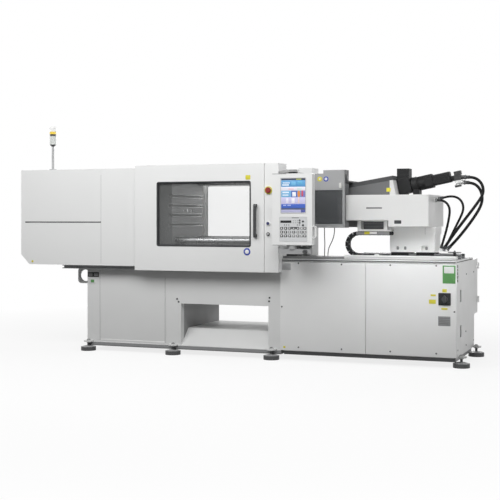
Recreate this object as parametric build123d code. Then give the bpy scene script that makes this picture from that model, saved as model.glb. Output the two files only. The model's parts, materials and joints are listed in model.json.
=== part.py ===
from build123d import *
from math import atan2, cos, hypot, radians, sin, tan
import os

# Injection moulding machine with a horizontal direct-pressure clamp on the left and a two-stage
# injection unit on the right. Lengths are in millimetres and angles in degrees.
# X runs from the clamp end to the injection end, with x = 0 at the fixed platen's mould face.
# Y runs across the machine from its centre plane, with the operator at -Y. Z is up from the floor.

# Clearances
running_gap = 0.05
sliding_gap = 0.3
panel_gap = 3
through = 5

# Clamp and injection axis
axis_height = 1410

# Clamp base
base_left = -1800
base_right = 280
base_half_width = 482
base_bottom = 50
base_top = 825
base_wall = 14
base_kerb = 6
base_seams = (-1646, -923)
seam_width = 3
seam_depth = 2
chute_left = -759
chute_right = 150
chute_bottom = 87
chute_top = 498
chute_rear_top = 425
chute_floor = 246
chute_slope_depth = 170
chute_sheet = 4
drop_half_width = 225
drop_right = -40
bed_strip_inner = 245
bed_strip_outer = 315
bed_strip_height = 20
bed_strip_left = -1500

# Levelling feet
foot_stations = (-1774, -834, 189)
foot_half_track = 507
end_foot_x = 1957
end_foot_y = (-421, 420)
pad_radius = 75
pad_rim = 38
pad_height = 47
stem_radius = 12
stem_height = 114
foot_nut_width = 36
foot_nut_height = 10
foot_bracket_width = 90
foot_bracket_reach = 66
foot_bracket_thickness = 12
foot_bracket_chamfer = 22
weld_depth = 2

# Lifting lugs
lug_width = 185
lug_bottom = 664
lug_thickness = 22
lug_front = -350
lug_hole_radius = 60
lug_hole_inset = 103
lug_hole_height = 745

# Clamp cover
cover_left = -2524.5
cover_right = -1000
cover_half_width = 575
cover_bottom = 861
cover_top = 1824
cover_wall = 5
cover_corner = 100
cover_seam = -1594

# Sliding safety doors
door_left = -1194
door_right = 159
door_bottom = 824
door_top = 1845
door_outer = 625
door_inner = 587
door_lip = 12
window_left = -951
window_right = 25
window_bottom = 1062
window_top = 1681
window_radius = 18
window_rebate = 16
pane_thickness = 8
rail_end_margin = 40
rail_outer = 580
rail_inner = 540
rail_slot = 20
rail_foot_inner = 440
roller_width = 22
roller_inset = 130
header_height = 60
header_depth = 30
door_handle_x = 78
door_handle_bottom = 1150
door_handle_top = 1464
door_handle_reach = 42
door_handle_width = 26
door_handle_bar = 16
door_travel = 800

# Operator column and rear post
column_left = 162
column_right = 302
column_depth = 234
column_edge = 6
estop_x = 204
estop_drop = 253
estop_ring_radius = 34
estop_ring_depth = 10
estop_stem_radius = 11
estop_head_radius = 27
estop_head_depth = 14
estop_travel = 4
button_x = 200
button_height = 1282
button_radius = 14
button_travel = 3
key_height = 1183
key_radius = 8
key_barrel_radius = 14
key_barrel_depth = 8
key_reach = 26
key_blade = 4
key_bow = 11

# Platens
platen_half_width = 385
platen_half_height = 400
platen_thickness = 170
platen_corner = 50
platen_leg_inner = 235
platen_leg_outer = 330
open_daylight = 901
clamp_stroke = 400
tie_half_width = 270
tie_half_height = 302.5
tie_radius = 40
tie_nut_radius = 64
tie_nut_length = 70
tie_end = 15
slot_pitch = 95
slot_count = 4
slot_mouth = 22
slot_head = 37
slot_head_depth = 16
slot_depth = 38
locating_radius = 62.5
locating_depth = 30
locating_wall = 25
nozzle_relief_radius = 120

# Ejector inside the moving platen
pocket_half_width = 150
pocket_half_height = 110
ejector_plate_thickness = 20
ejector_plate_half_width = 140
ejector_plate_half_height = 70
ejector_rod_radius = 20
ejector_side_radius = 12
ejector_side_pitch = 100
ejector_recess = 4
ejector_travel = 80

# Direct-pressure clamp cylinder
rear_platen_front = -1230
rear_platen_thickness = 200
ram_radius = 110
ram_flange_radius = 165
ram_flange_thickness = 28
ram_guide_length = 270
ram_end_room = 100
cylinder_radius = 180
cylinder_flange_radius = 225
cylinder_flange_thickness = 45
cylinder_end_wall = 70
cylinder_cap_radius = 200

# Injection base with its service panels, deck and plinth
cabinet_left = base_right + 1
cabinet_right = 1933
cabinet_front = -505
cabinet_rear = 440
cabinet_bottom = 92
cabinet_top = 935
cabinet_wall = 12
service_panel_thickness = 20
service_panel_top = 921
service_panel_edge = 5
plinth_inset = 20
plinth_front = -462
plinth_rear = 400
side_pocket_front = -350
side_pocket_rear = -280
side_pocket_depth = 10
side_pockets = ((257, 366), (574, 686))
deck_thickness = 20
deck_rear = 375
deck_edge = 8
edge_bar_left = 904
edge_bar_bottom = 966
edge_bar_top = 994
edge_bar_thickness = 12
edge_bar_neck = 6

# Main switch on the front of the injection base
switch_x = 1827
switch_height = 613
switch_half_width = 56
switch_half_height = 56
switch_frame_depth = 6
switch_boss_radius = 14
switch_knob_length = 64
switch_knob_width = 18
switch_knob_depth = 22

# Rear electrical cabinet
box_left = 330
box_right = 1922
box_rear = 697
box_bottom = 400
box_top = 934
box_wall = 6
box_frame = 30
box_door_left = 1130
box_door_thickness = 20
hinge_radius = 8
hinge_offset = 9
hinge_length = 60
hinge_inset = 70

# Purge guard over the nozzle
guard_left = 303
guard_right = 882
guard_half_width = 410
guard_bottom = 1242
guard_top = 1781
guard_step_x = 675
guard_step_top = 1748
guard_rear_top = 1684
guard_roof_rear = 180
guard_sheet = 4
guard_end_flange = 126
guard_end_gap_bottom = 1296
guard_end_gap_top = 1562
guard_door_left = 566
guard_door_right = 878
guard_door_thickness = 14
guard_frame = 26
guard_frame_right = 20
guard_window_right = 860
guard_window_top = 1593
guard_pane_thickness = 5
guard_latch_x = 845
guard_latch_rise = 42
guard_latch_radius = 6
guard_latch_size = 47
guard_latch_width = 23
guard_latch_reach = 22
guard_latch_gap = 8
guard_latch_tongue = 5
guard_stop_depth = 38

# Operator panel on its swing arms
pivot_x = 515
pivot_y = -835
pin_radius = 12
pin_length = 34
arm_radius = 38
arm_thickness = 22
arm_gap = 0.3
arm_root_front = -612
arm_root_rear = -520
panel_left = 329.5
panel_right = 708
panel_front = -875
panel_back = -795
panel_bottom = 1085
panel_top = 1734
panel_edge = 8
screen_left = 416
screen_right = 644
screen_bottom = 1382
screen_top = 1688
screen_depth = 6
keypad_left = 405
keypad_right = 657
keypad_bottom = 1126
keypad_top = 1338
keypad_depth = 4
grip_bottom = 1150
grip_top = 1262
grip_reach = 30
grip_bar = 11
tray_left = 385
tray_right = 690
tray_depth = 50
tray_height = 44
knob_x = 640
knob_radius = 20
knob_shaft_radius = 8
knob_depth = 24

# Carriage with its rails
rail_block_left = 930
rail_end_length = 36
track_half_gauge = 100
track_width = 34
track_height = 45
block_length = 165
block_side = 16
block_cap = 14
pedestal_left = 1241
pedestal_right = 1664
pedestal_half_width = 140
pedestal_top = 1250
pocket_height = 44
pocket_width = 72
pocket_inset = 18
pedestal_bolt_radius = 9
pedestal_bolt_height = 12
shoulder_left = 1580
shoulder_right = 1672
shoulder_bottom = 1181
shoulder_half_width = 150
hose_plate_right = 1768
hose_plate_half_width = 96
hose_plate_thickness = 10
carriage_travel = 200

# Injection housing, barrel cover and barrel
housing_left = 1279
housing_right = 1650
housing_half_width = 362
housing_height = 296
housing_edge = 6
barrel_cover_left = 864
barrel_cover_height = 238
barrel_cover_wall = 4
barrel_slot_half_width = 60
recess_left = 1067
recess_right = 1219
recess_drop = 122
recess_size = 20
recess_depth = 3
carrier_left = 969
carrier_right = 1254
carrier_leg = 34
carrier_height = 87
carrier_front = -300
carrier_rear = -200
carrier_sheet = 5
nozzle_tip = 36
nozzle_tip_radius = 8
nozzle_radius = 28
nozzle_body_left = 62
head_left = 190
head_bottom = 1352
head_half_width = 62
head_right = 735
barrel_radius = 45
melt_radius = 25
plunger_left = 590
coupling_length = 80
coupling_room = 20
coupling_radius = 50
coupling_bore_margin = 60
injection_stroke = 160

# Inclined plasticising unit
tilt = 11.6
feed_x = 1343.5
feed_rise = 80
screw_barrel_radius = 40
screw_radius = 18
screw_core_radius = 11
flight_pitch = 32
flight_width = 7
screw_start = -600
slant_cover_left = 790
slant_cover_right = 1273
slant_cover_left_rise = 103
slant_cover_right_rise = 184
slant_cover_half_width = 200
slant_cover_chamfer = 42
feed_start = -44
feed_end = 78
feed_half_width = 72
feed_low = -68
feed_high = 88
throat_half_length = 58
throat_half_width = 62
throat_rise = 173
throat_bore = 34
throat_shift = 4
hopper_bolt_spacing = 96
hopper_bolt_radius = 5
gearbox_end = 150
gearbox_radius = 72
neck_end = 215
neck_radius = 50
flange_end = 285
flange_half = 64
flange_corner = 22
motor_end = 452
motor_radius = 50
motor_cap = 14
stand_left = 1442
stand_right = 1502
stand_half_width = 56
manifold_start = 486
manifold_end = 548
manifold_half_width = 36
manifold_low = -84
manifold_high = 4
adapter_radius = 26
fitting_length = 60

# Energy chain beside the carriage
link_pitch = 46
link_height = 38
link_sheet = 4
link_gap = 0.4
link_inner_half = 24
link_overlap = 3
crossbar_width = 12
crossbar_thickness = 4
bend_links = 7
upper_links = 7
lower_links = 3
chain_y = -250
chain_bend_x = 966
chain_lift = 10

# Round cap at the end of the deck
cap_x = 1880
cap_y = -325
cap_radius = 60
cap_thickness = 7
cap_height = 1019
neck_radius_low = 26
neck_low_height = 32
cap_stem_radius = 14
cap_knob_radius = 10
cap_knob_height = 12

# Signal tower
tower_x = -2239
tower_y = -425
tower_pole_radius = 12.5
tower_lamp_bottom = 2091
tower_lamp_radius = 34
tower_rings = (2177, 2198, 2224)
tower_top = 2279
tower_foot_radius = 36
tower_foot_height = 14

# Hoses and cables
hose_radius = 13.5
thin_hose_radius = 11
cable_radius = 4
gland_wall = 5
gland_height = 17
fitting_wall = 5
route_reach = 160
hose_a_port = (44.6, -16, -34.9)
hose_b_port = (24.2, 18, -79.7)
hose_c_port = (22, 56, 31)
hose_d_port = (18, -56, 47)
hose_a_end = (40, -46, 18)
hose_b_end = (6, -12, 22)
hose_c_end = (42, 30, 24)
hose_d_end = (59, -76, 26)
guard_cable_x = (672, 770)
guard_cable_inset = 32
gland_x = (674, 706)

platen_left = -open_daylight - platen_thickness
pocket_depth = ejector_plate_thickness + ejector_travel + 5
rail_left = door_left - door_travel - rail_end_margin
estop_height = door_top - estop_drop
guard_latch_height = guard_window_top + guard_latch_rise
guard_cable_y = guard_cable_inset - guard_half_width
housing_bottom = pedestal_top + 1
housing_top = housing_bottom + housing_height
barrel_cover_bottom = housing_top - barrel_cover_height
recess_height = housing_top - recess_drop
carrier_bottom = barrel_cover_bottom - carrier_height
slant_cover_left_top = housing_top + slant_cover_left_rise
slant_cover_right_top = housing_top + slant_cover_right_rise
feed_height = housing_top + feed_rise
throat_top = feed_height + throat_rise
ram_end = rear_platen_front - rear_platen_thickness - clamp_stroke - ram_guide_length
cylinder_bore_end = ram_end - ram_end_room
cylinder_end = cylinder_bore_end - cylinder_end_wall
plunger_bore_left = plunger_left - injection_stroke - 10
coupling_left = housing_left + injection_stroke + coupling_room
coupling_right = coupling_left + coupling_length
coupling_bore_end = coupling_right + coupling_bore_margin
rail_block_right = pedestal_right + carriage_travel + rail_end_length
rail_height = cover_bottom - base_top
bend_step = 180 / bend_links
bend_radius = link_pitch / 2 / sin(radians(bend_step / 2))
deck_top = cabinet_top + deck_thickness
track_top = deck_top + track_height
block_top = track_top + block_cap
panel_face = cabinet_front - service_panel_thickness
box_hinge_y = box_rear + sliding_gap + box_door_thickness
box_hinge_x = box_right
front_end = pivot_y - tray_depth / 2 - sliding_gap - knob_depth
rear_end = box_hinge_y + hinge_radius
right_end = end_foot_x + pad_radius
origin_x = (cover_left + right_end) / 2
origin_y = (front_end + rear_end) / 2


def block(x, y, z):
    # A block between two limits along each axis
    limits = (x, y, z)
    size = [high - low for low, high in limits]
    middle = [(high + low) / 2 for low, high in limits]
    return Pos(*middle) * Box(*size)


def bar_x(x, y, z, radius):
    # A round bar along X between the limits x
    return Pos((x[0] + x[1]) / 2, y, z) * Rot(0, 90, 0) * Cylinder(radius, x[1] - x[0])


def bar_y(x, y, z, radius):
    # A round bar along Y between the limits y
    return Pos(x, (y[0] + y[1]) / 2, z) * Rot(90, 0, 0) * Cylinder(radius, y[1] - y[0])


def bar_z(x, y, z, radius):
    # A round bar along Z between the limits z
    return Pos(x, y, (z[0] + z[1]) / 2) * Cylinder(radius, z[1] - z[0])


def side_profile(points, half_width):
    # An outline in the XZ plane, extruded to both sides of the centre plane
    outline = Plane.XZ * Polygon(*points, align=None)
    return extrude(outline, half_width, both=True)


def spun_x(points, centre_z):
    # A turned piece about the X axis, from an outline of (x, radius) points
    outline = Plane.XZ * Polygon(*points, align=None)
    return Pos(0, 0, centre_z) * revolve(outline, Axis.X, 360)


def rounded(shape, axis, radius):
    # The same shape with its edges along one axis rounded
    return fillet(shape.edges().filter_by(axis), radius)


def group(shapes):
    # Several separate solids in one node
    return Compound([solid for shape in shapes for solid in shape.solids()])


def both_sides(shape):
    return [shape, mirror(shape, about=Plane.XZ)]


def incline(shape):
    # Moves a shape made about the local X axis on to the inclined plasticising axis
    return Pos(feed_x, 0, feed_height) * Rot(0, -tilt, 0) * shape


def incline_height(x):
    # Height of the plasticising axis at a station along the machine
    return feed_height + (x - feed_x) * tan(radians(tilt))


def foot_bracket(x, y, outward):
    # A bracket plate on the outside of the base, bored for the levelling stem
    inner = foot_half_track - base_half_width + weld_depth
    reach = sorted((y - outward * inner, y + outward * (foot_bracket_reach - inner)))
    half = foot_bracket_width / 2
    top = chute_bottom + foot_bracket_thickness
    plate = block((x - half, x + half), reach, (chute_bottom, top))
    far = plate.edges().filter_by(Axis.Z).sort_by(Axis.Y)
    corners = far[-2:] if outward > 0 else far[:2]
    plate = chamfer(corners, foot_bracket_chamfer)
    return plate - bar_z(x, y, (chute_bottom - through, top + through), stem_radius + sliding_gap)


def clamp_base():
    # Plate-built base, open through its middle for what drops from the mould
    body = block((base_left, base_right), (-base_half_width, base_half_width), (base_bottom, base_top))
    kerb_y = base_half_width + base_kerb
    body += block((base_left, base_right), (-kerb_y, kerb_y), (base_bottom, chute_bottom))
    inner = base_half_width - base_wall
    bay_z = (base_bottom + base_wall, base_top - bed_strip_height - base_wall)
    body -= block((base_left + base_wall, chute_left - base_wall), (-inner, inner), bay_z)
    chute_x = (chute_left, chute_right)
    through_y = base_half_width + through
    body -= block(chute_x, (-through_y, through_y), (chute_bottom, chute_rear_top))
    body -= block(chute_x, (-through_y, inner), (chute_bottom, chute_top))
    body -= block(chute_x, (-inner, inner), (chute_top, bay_z[1]))
    drop_y = (-drop_half_width, drop_half_width)
    body -= block((chute_left, drop_right), drop_y, (chute_top, base_top + through))
    for seam in base_seams:
        cut_x = (seam - seam_width / 2, seam + seam_width / 2)
        cut_y = (-through_y, seam_depth - base_half_width)
        body -= block(cut_x, cut_y, (chute_bottom, base_top + through))
    strip_z = (base_top, base_top + bed_strip_height)
    for low, high in ((-bed_strip_outer, -bed_strip_inner), (bed_strip_inner, bed_strip_outer)):
        body += block((bed_strip_left, platen_thickness), (low, high), strip_z)
    for x in foot_stations:
        body += foot_bracket(x, -foot_half_track, -1)
        body += foot_bracket(x, foot_half_track, 1)
    for lug in both_sides(lifting_lug()):
        body += lug
    return group([body, chute_tray()])


def chute_tray():
    # Folded sheet under the mould: a sloping apron at the front and a flat floor behind it
    front = -base_half_width
    bend = front + chute_slope_depth
    rear = base_half_width
    points = [
        (front, chute_bottom),
        (front + chute_sheet * 1.4, chute_bottom),
        (bend, chute_floor - chute_sheet),
        (rear, chute_floor - chute_sheet),
        (rear, chute_floor),
        (bend, chute_floor),
        (front, chute_bottom + chute_sheet * 1.4),
    ]
    outline = Plane.YZ * Polygon(*points, align=None)
    return Pos(chute_left, 0, 0) * extrude(outline, chute_right - chute_left)


def levelling_foot(x, y, bracket_bottom, bracket_top):
    # Rubber pad, threaded stem and the two nuts that lock it to its bracket
    outline = Plane.XZ * Polygon(
        (0, 0),
        (pad_radius, 0),
        (pad_radius, pad_rim),
        (pad_radius * 0.55, pad_height),
        (stem_radius, pad_height),
        (stem_radius, stem_height),
        (0, stem_height),
        align=None,
    )
    foot = revolve(outline, Axis.Z, 360)
    nut = RegularPolygon(foot_nut_width / 2, 6, major_radius=False)
    low_nut = Pos(0, 0, bracket_bottom - foot_nut_height) * extrude(nut, foot_nut_height)
    high_nut = Pos(0, 0, bracket_top) * extrude(nut, foot_nut_height)
    return Pos(x, y, 0) * (foot + low_nut + high_nut)


def end_bracket(y):
    # Bracket plate on the end of the injection base, bored for the levelling stem
    half = foot_bracket_width / 2
    top = chute_bottom + foot_bracket_thickness
    plate = block((cabinet_right, end_foot_x + half), (y - half, y + half), (chute_bottom, top))
    outer = plate.edges().filter_by(Axis.Z).sort_by(Axis.X)[-2:]
    plate = chamfer(outer, foot_bracket_chamfer)
    return plate - bar_z(end_foot_x, y, (chute_bottom - through, top + through), stem_radius + sliding_gap)


def levelling_feet():
    # All eight feet, and the two brackets at the end of the injection base
    low = chute_bottom
    high = chute_bottom + foot_bracket_thickness
    places = [(x, y) for x in foot_stations for y in (-foot_half_track, foot_half_track)]
    places += [(end_foot_x, y) for y in end_foot_y]
    feet = [levelling_foot(x, y, low, high) for x, y in places]
    return group(feet + [end_bracket(y) for y in end_foot_y])


def lifting_lug():
    # A plate welded beside the base's left end, bored for a shackle
    x = (base_left - lug_width, base_left)
    y = (lug_front, lug_front + lug_thickness)
    plate = block(x, y, (lug_bottom, base_top))
    left_edges = plate.edges().filter_by(Axis.Y).sort_by(Axis.X)[:2]
    plate = fillet(left_edges, lug_width / 5)
    hole_x = base_left - lug_hole_inset
    cut_y = (y[0] - through, y[1] + through)
    return plate - bar_y(hole_x, cut_y, lug_hole_height, lug_hole_radius)


def clamp_cover():
    # Sheet enclosure of the clamp cylinder, open towards the mould
    corner = cover_corner

    def shell_outline(inset):
        left = cover_left + inset
        low = cover_bottom + inset
        cut = corner - inset * 0.6
        high = cover_top - inset
        right = cover_right + inset * 2
        return [(left, low + cut), (left + cut, low), (right, low), (right, high), (left, high)]

    outer = side_profile(
        [(min(x, cover_right), z) for x, z in shell_outline(0)], cover_half_width
    )
    inner = side_profile(shell_outline(cover_wall), cover_half_width - cover_wall)
    shell = outer - inner
    floor_y = base_half_width - base_wall
    floor_x = (base_left + base_wall, cover_right + through)
    shell -= block(floor_x, (-floor_y, floor_y), (cover_bottom - through, cover_bottom + 2 * cover_wall))
    groove_x = (cover_seam - seam_width / 2, cover_seam + seam_width / 2)
    groove_z = (cover_bottom - through, cover_top + through)
    face = cover_half_width
    shell -= block(groove_x, (-face - through, seam_depth - face), groove_z)
    shell -= block(groove_x, (face - seam_depth, face + through), groove_z)
    return shell


def door_guide():
    # Lower rail: a foot on the base and a channel whose slot takes the door's rollers
    z = (base_top, cover_bottom)
    x = (rail_left, column_left)
    channel = block(x, (-rail_outer, -rail_inner), z)
    foot_z = (base_top, base_top + (rail_height - rail_slot) / 4)
    foot = block((base_left, column_left), (-rail_inner - 1, -rail_foot_inner), foot_z)
    centre = (z[0] + z[1]) / 2
    slot_z = (centre - rail_slot / 2, centre + rail_slot / 2)
    slot = block((x[0] - through, x[1] + through), (-rail_outer - through, -rail_inner - 6), slot_z)
    return channel - slot + foot


def door_header():
    # Upper beam between the clamp cover and the column, which the door's lip hooks over
    y = (-cover_half_width, header_depth - cover_half_width)
    beam = block((cover_right, column_left), y, (cover_top - header_height, cover_top))
    bottom = beam.edges().filter_by(Axis.X).sort_by(Axis.Z)[:2]
    return fillet(bottom, 5)


def door_guides():
    return group(both_sides(door_guide()) + both_sides(door_header()))


def pane_outline(margin, radius):
    width = window_right - window_left + 2 * margin
    height = window_top - window_bottom + 2 * margin
    return RectangleRounded(width, height, radius + margin)


def pane_solid(margin, radius, depth):
    # A rounded slab in the window's place, between two distances in front of the centre plane
    centre_x = (window_left + window_right) / 2
    centre_z = (window_bottom + window_top) / 2
    slab = extrude(Plane.XZ * pane_outline(margin, radius), depth[1] - depth[0])
    return Pos(centre_x, -depth[0], centre_z) * slab


def safety_door():
    # Sheet door with a rebated window, a lip over the header and rollers in the lower rail
    x = (door_left, door_right)
    panel = block(x, (-door_outer, -door_inner), (door_bottom, door_top))
    panel = rounded(panel, Axis.Z, 5)
    rebate_face = door_outer - (door_outer - door_inner) / 2
    panel -= pane_solid(0, window_radius, (door_inner - through, door_outer + through))
    panel -= pane_solid(window_rebate, window_radius, (door_inner - through, rebate_face))
    lip_y = (-door_inner - 2, header_depth / 2 - cover_half_width)
    panel += block(x, lip_y, (door_top - door_lip, door_top))
    slot_centre = (base_top + cover_bottom) / 2
    roller_radius = rail_slot / 2 - sliding_gap
    for station in (door_left + roller_inset, door_right - roller_inset):
        roller_y = (-door_inner - 2, roller_width - rail_outer)
        panel += bar_y(station, roller_y, slot_centre, roller_radius)
        guide_x = (station - 40, station + 40)
        guide_z = (cover_top + sliding_gap, door_top - door_lip)
        panel += block(guide_x, (-cover_half_width + 2, lip_y[1]), guide_z)
    return panel


def safety_window():
    rebate_face = door_outer - (door_outer - door_inner) / 2
    margin = window_rebate - sliding_gap
    return pane_solid(margin, window_radius, (rebate_face - pane_thickness, rebate_face))


def door_handle():
    # Bridge handle bent out of one bar
    half = door_handle_width / 2
    x = (door_handle_x - half, door_handle_x + half)
    y = (-door_outer - door_handle_reach, -door_outer)
    z = (door_handle_bottom, door_handle_top)
    bridge = block(x, y, z)
    outer_corners = bridge.edges().filter_by(Axis.X).sort_by(Axis.Y)[:2]
    bridge = fillet(outer_corners, 20)
    finger_y = (y[0] + door_handle_bar, y[1] + through)
    finger_z = (z[0] + 2 * door_handle_bar, z[1] - 2 * door_handle_bar)
    gap = block((x[0] - through, x[1] + through), finger_y, finger_z)
    inner_corners = gap.edges().filter_by(Axis.X).sort_by(Axis.Y)[:2]
    return bridge - fillet(inner_corners, 10)


def operator_column():
    # Column beside the door, with the collars of its emergency stop, button and key switch
    y = (-door_outer, column_depth - door_outer)
    column = block((column_left, column_right), y, (base_top, door_top))
    column = rounded(column, Axis.Z, column_edge)
    face = -door_outer
    ring_y = (face - estop_ring_depth, face + 1)
    column += bar_y(estop_x, ring_y, estop_height, estop_ring_radius)
    button_y = (face - key_barrel_depth, face + 1)
    column += bar_y(button_x, button_y, button_height, button_radius + 6)
    column += bar_y(button_x, button_y, key_height, key_barrel_radius)
    shafts = (
        (estop_x, estop_height, estop_stem_radius),
        (button_x, button_height, button_radius),
        (button_x, key_height, key_radius),
    )
    for x, z, radius in shafts:
        column -= bar_y(x, (face - 2 * through - estop_ring_depth, face + 30), z, radius + running_gap)
    return column - cabinet_notch()


def cabinet_notch():
    # Room for the corner of the injection base under the column
    x = (cabinet_left - sliding_gap, column_right + through)
    y = (panel_face - sliding_gap, through)
    return block(x, y, (base_top - through, deck_top + sliding_gap))


def rear_post():
    y = (door_outer - column_depth, door_outer)
    post = block((column_left, column_right), y, (base_top, door_top))
    return rounded(post, Axis.Z, column_edge) - mirror(cabinet_notch(), about=Plane.XZ)


def estop_head():
    # Mushroom head on a stem in the collar
    front = -door_outer - estop_ring_depth - estop_travel - sliding_gap
    stem = bar_y(estop_x, (front - 2, -door_outer + 20), estop_height, estop_stem_radius)
    head = bar_y(estop_x, (front - estop_head_depth, front), estop_height, estop_head_radius)
    rim = head.edges().filter_by(GeomType.CIRCLE).sort_by(Axis.Y)[0]
    return stem + fillet(rim, 7)


def push_button():
    front = -door_outer - key_barrel_depth - button_travel - 3
    cap = bar_y(button_x, (front, -door_outer + 18), button_height, button_radius)
    rim = cap.edges().filter_by(GeomType.CIRCLE).sort_by(Axis.Y)[0]
    return fillet(rim, 2)


def key():
    # Round key shank with a flat bow
    face = -door_outer - key_barrel_depth
    shank = bar_y(button_x, (face - 4, -door_outer + 22), key_height, key_radius)
    half = key_blade / 2
    bow_z = (key_height - key_bow, key_height + key_bow)
    bow = block((button_x - half, button_x + half), (face - key_reach, face - 3), bow_z)
    bow = fillet(bow.edges().filter_by(Axis.X).sort_by(Axis.Y)[:2], 7)
    return shank + bow


def platen_plate(x, legs):
    # A cast platen with cut corners, tie-bar bores and two legs down to the bed
    z = (axis_height - platen_half_height, axis_height + platen_half_height)
    plate = block(x, (-platen_half_width, platen_half_width), z)
    plate = chamfer(plate.edges().filter_by(Axis.X), platen_corner)
    for side in (-1, 1):
        y = sorted((side * platen_leg_inner, side * platen_leg_outer))
        plate += block(legs, y, (base_top + bed_strip_height, z[0] + 2 * platen_corner))
    for side in (-1, 1):
        for level in (-1, 1):
            bore_x = (x[0] - through, x[1] + through)
            height = axis_height + level * tie_half_height
            plate -= bar_x(bore_x, side * tie_half_width, height, tie_radius + running_gap)
    return plate


def t_slots(face_x, into):
    # Horizontal T-slots of a mould face, cut in the direction given by into
    cuts = []
    reach = (-platen_half_width - through, platen_half_width + through)
    for index in range(slot_count):
        height = axis_height + (index - (slot_count - 1) / 2) * slot_pitch
        mouth_x = sorted((face_x - into * through, face_x + into * slot_depth))
        mouth_z = (height - slot_mouth / 2, height + slot_mouth / 2)
        cuts.append(block(mouth_x, reach, mouth_z))
        head_x = sorted((face_x + into * (slot_depth - slot_head_depth), face_x + into * slot_depth))
        head_z = (height - slot_head / 2, height + slot_head / 2)
        cuts.append(block(head_x, reach, head_z))
    return cuts


def fixed_platen():
    # Fixed platen, bored for the mould's locating ring and relieved behind for the nozzle
    plate = platen_plate((0, platen_thickness), (0, platen_thickness))
    boss = bar_x((0, platen_thickness), 0, axis_height, locating_radius + locating_wall)
    for cut in t_slots(0, 1):
        plate -= cut - boss
    relief = spun_x(
        [
            (-through, 0),
            (-through, locating_radius),
            (locating_depth, locating_radius),
            (platen_thickness, nozzle_relief_radius),
            (platen_thickness + through, nozzle_relief_radius),
            (platen_thickness + through, 0),
        ],
        axis_height,
    )
    return plate - relief


def moving_platen():
    # Moving platen with its T-slots, the ejector's pocket and the ejector bores
    x = (platen_left, -open_daylight)
    plate = platen_plate(x, x)
    for cut in t_slots(-open_daylight, -1):
        plate -= cut
    pocket_z = (axis_height - pocket_half_height, axis_height + pocket_half_height)
    pocket_x = (x[0] - through, x[0] + pocket_depth)
    plate -= block(pocket_x, (-pocket_half_width, pocket_half_width), pocket_z)
    bore_x = (x[0], x[1] + through)
    plate -= bar_x(bore_x, 0, axis_height, ejector_rod_radius + running_gap)
    for side in (-1, 1):
        plate -= bar_x(bore_x, side * ejector_side_pitch, axis_height, ejector_side_radius + running_gap)
    foot_z = (base_top, base_top + bed_strip_height + running_gap)
    reach = (-platen_half_width, platen_half_width)
    return plate - block((x[0] - through, x[1] + through), reach, foot_z)


def ejector():
    # Ejector plate with a centre rod and two side rods
    back = platen_left + 3
    front = back + ejector_plate_thickness
    y = (-ejector_plate_half_width, ejector_plate_half_width)
    z = (axis_height - ejector_plate_half_height, axis_height + ejector_plate_half_height)
    plate = rounded(block((back, front), y, z), Axis.X, 20)
    tip = -open_daylight - ejector_recess
    plate += bar_x((front - 2, tip), 0, axis_height, ejector_rod_radius)
    for side in (-1, 1):
        plate += bar_x((front - 2, tip), side * ejector_side_pitch, axis_height, ejector_side_radius)
    return plate


def clamp_ram():
    # Clamp ram with the flange that bolts to the moving platen
    flange_right = platen_left
    flange_left = flange_right - ram_flange_thickness
    return spun_x(
        [
            (ram_end, 0),
            (ram_end, ram_radius - 4),
            (ram_end + 8, ram_radius),
            (flange_left, ram_radius),
            (flange_left, ram_flange_radius),
            (flange_right, ram_flange_radius),
            (flange_right, 0),
        ],
        axis_height,
    )


def rear_platen():
    x = (rear_platen_front - rear_platen_thickness, rear_platen_front)
    plate = platen_plate(x, x)
    return plate - bar_x((x[0] - through, x[1] + through), 0, axis_height, ram_radius + running_gap)


def clamp_cylinder():
    # Cylinder behind the rear platen, bored for the ram and closed by its end cap
    front = rear_platen_front - rear_platen_thickness
    flange = front - cylinder_flange_thickness
    cap = cylinder_bore_end - 30
    bore = ram_radius + running_gap
    return spun_x(
        [
            (front, bore),
            (front, cylinder_flange_radius),
            (flange, cylinder_flange_radius),
            (flange - 20, cylinder_radius),
            (cap, cylinder_radius),
            (cap, cylinder_cap_radius),
            (cylinder_end, cylinder_cap_radius),
            (cylinder_end, 0),
            (cylinder_bore_end, 0),
            (cylinder_bore_end, bore),
        ],
        axis_height,
    )


def tie_positions():
    return [(side * tie_half_width, axis_height + level * tie_half_height)
            for side in (-1, 1) for level in (-1, 1)]


def tie_bars():
    left = rear_platen_front - rear_platen_thickness - tie_nut_length - tie_end
    right = platen_thickness + tie_nut_length + tie_end
    bars = []
    for y, z in tie_positions():
        bar = bar_x((left, right), y, z, tie_radius)
        bars.append(chamfer(bar.edges().filter_by(GeomType.CIRCLE), 4))
    return group(bars)


def tie_bar_nuts():
    # Round nuts with six driving slots, behind the rear platen and behind the fixed one
    nut = Cylinder(tie_nut_radius, tie_nut_length)
    for index in range(6):
        angle = index * 60
        nut -= Rot(0, 0, angle) * Pos(tie_nut_radius, 0, 0) * Box(16, 18, tie_nut_length + through)
    nut -= Cylinder(tie_radius + running_gap, tie_nut_length + through)
    nut = Rot(0, 90, 0) * nut
    rear_x = rear_platen_front - rear_platen_thickness - tie_nut_length / 2
    front_x = platen_thickness + tie_nut_length / 2
    return group([Pos(x, y, z) * nut for x in (rear_x, front_x) for y, z in tie_positions()])


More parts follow.
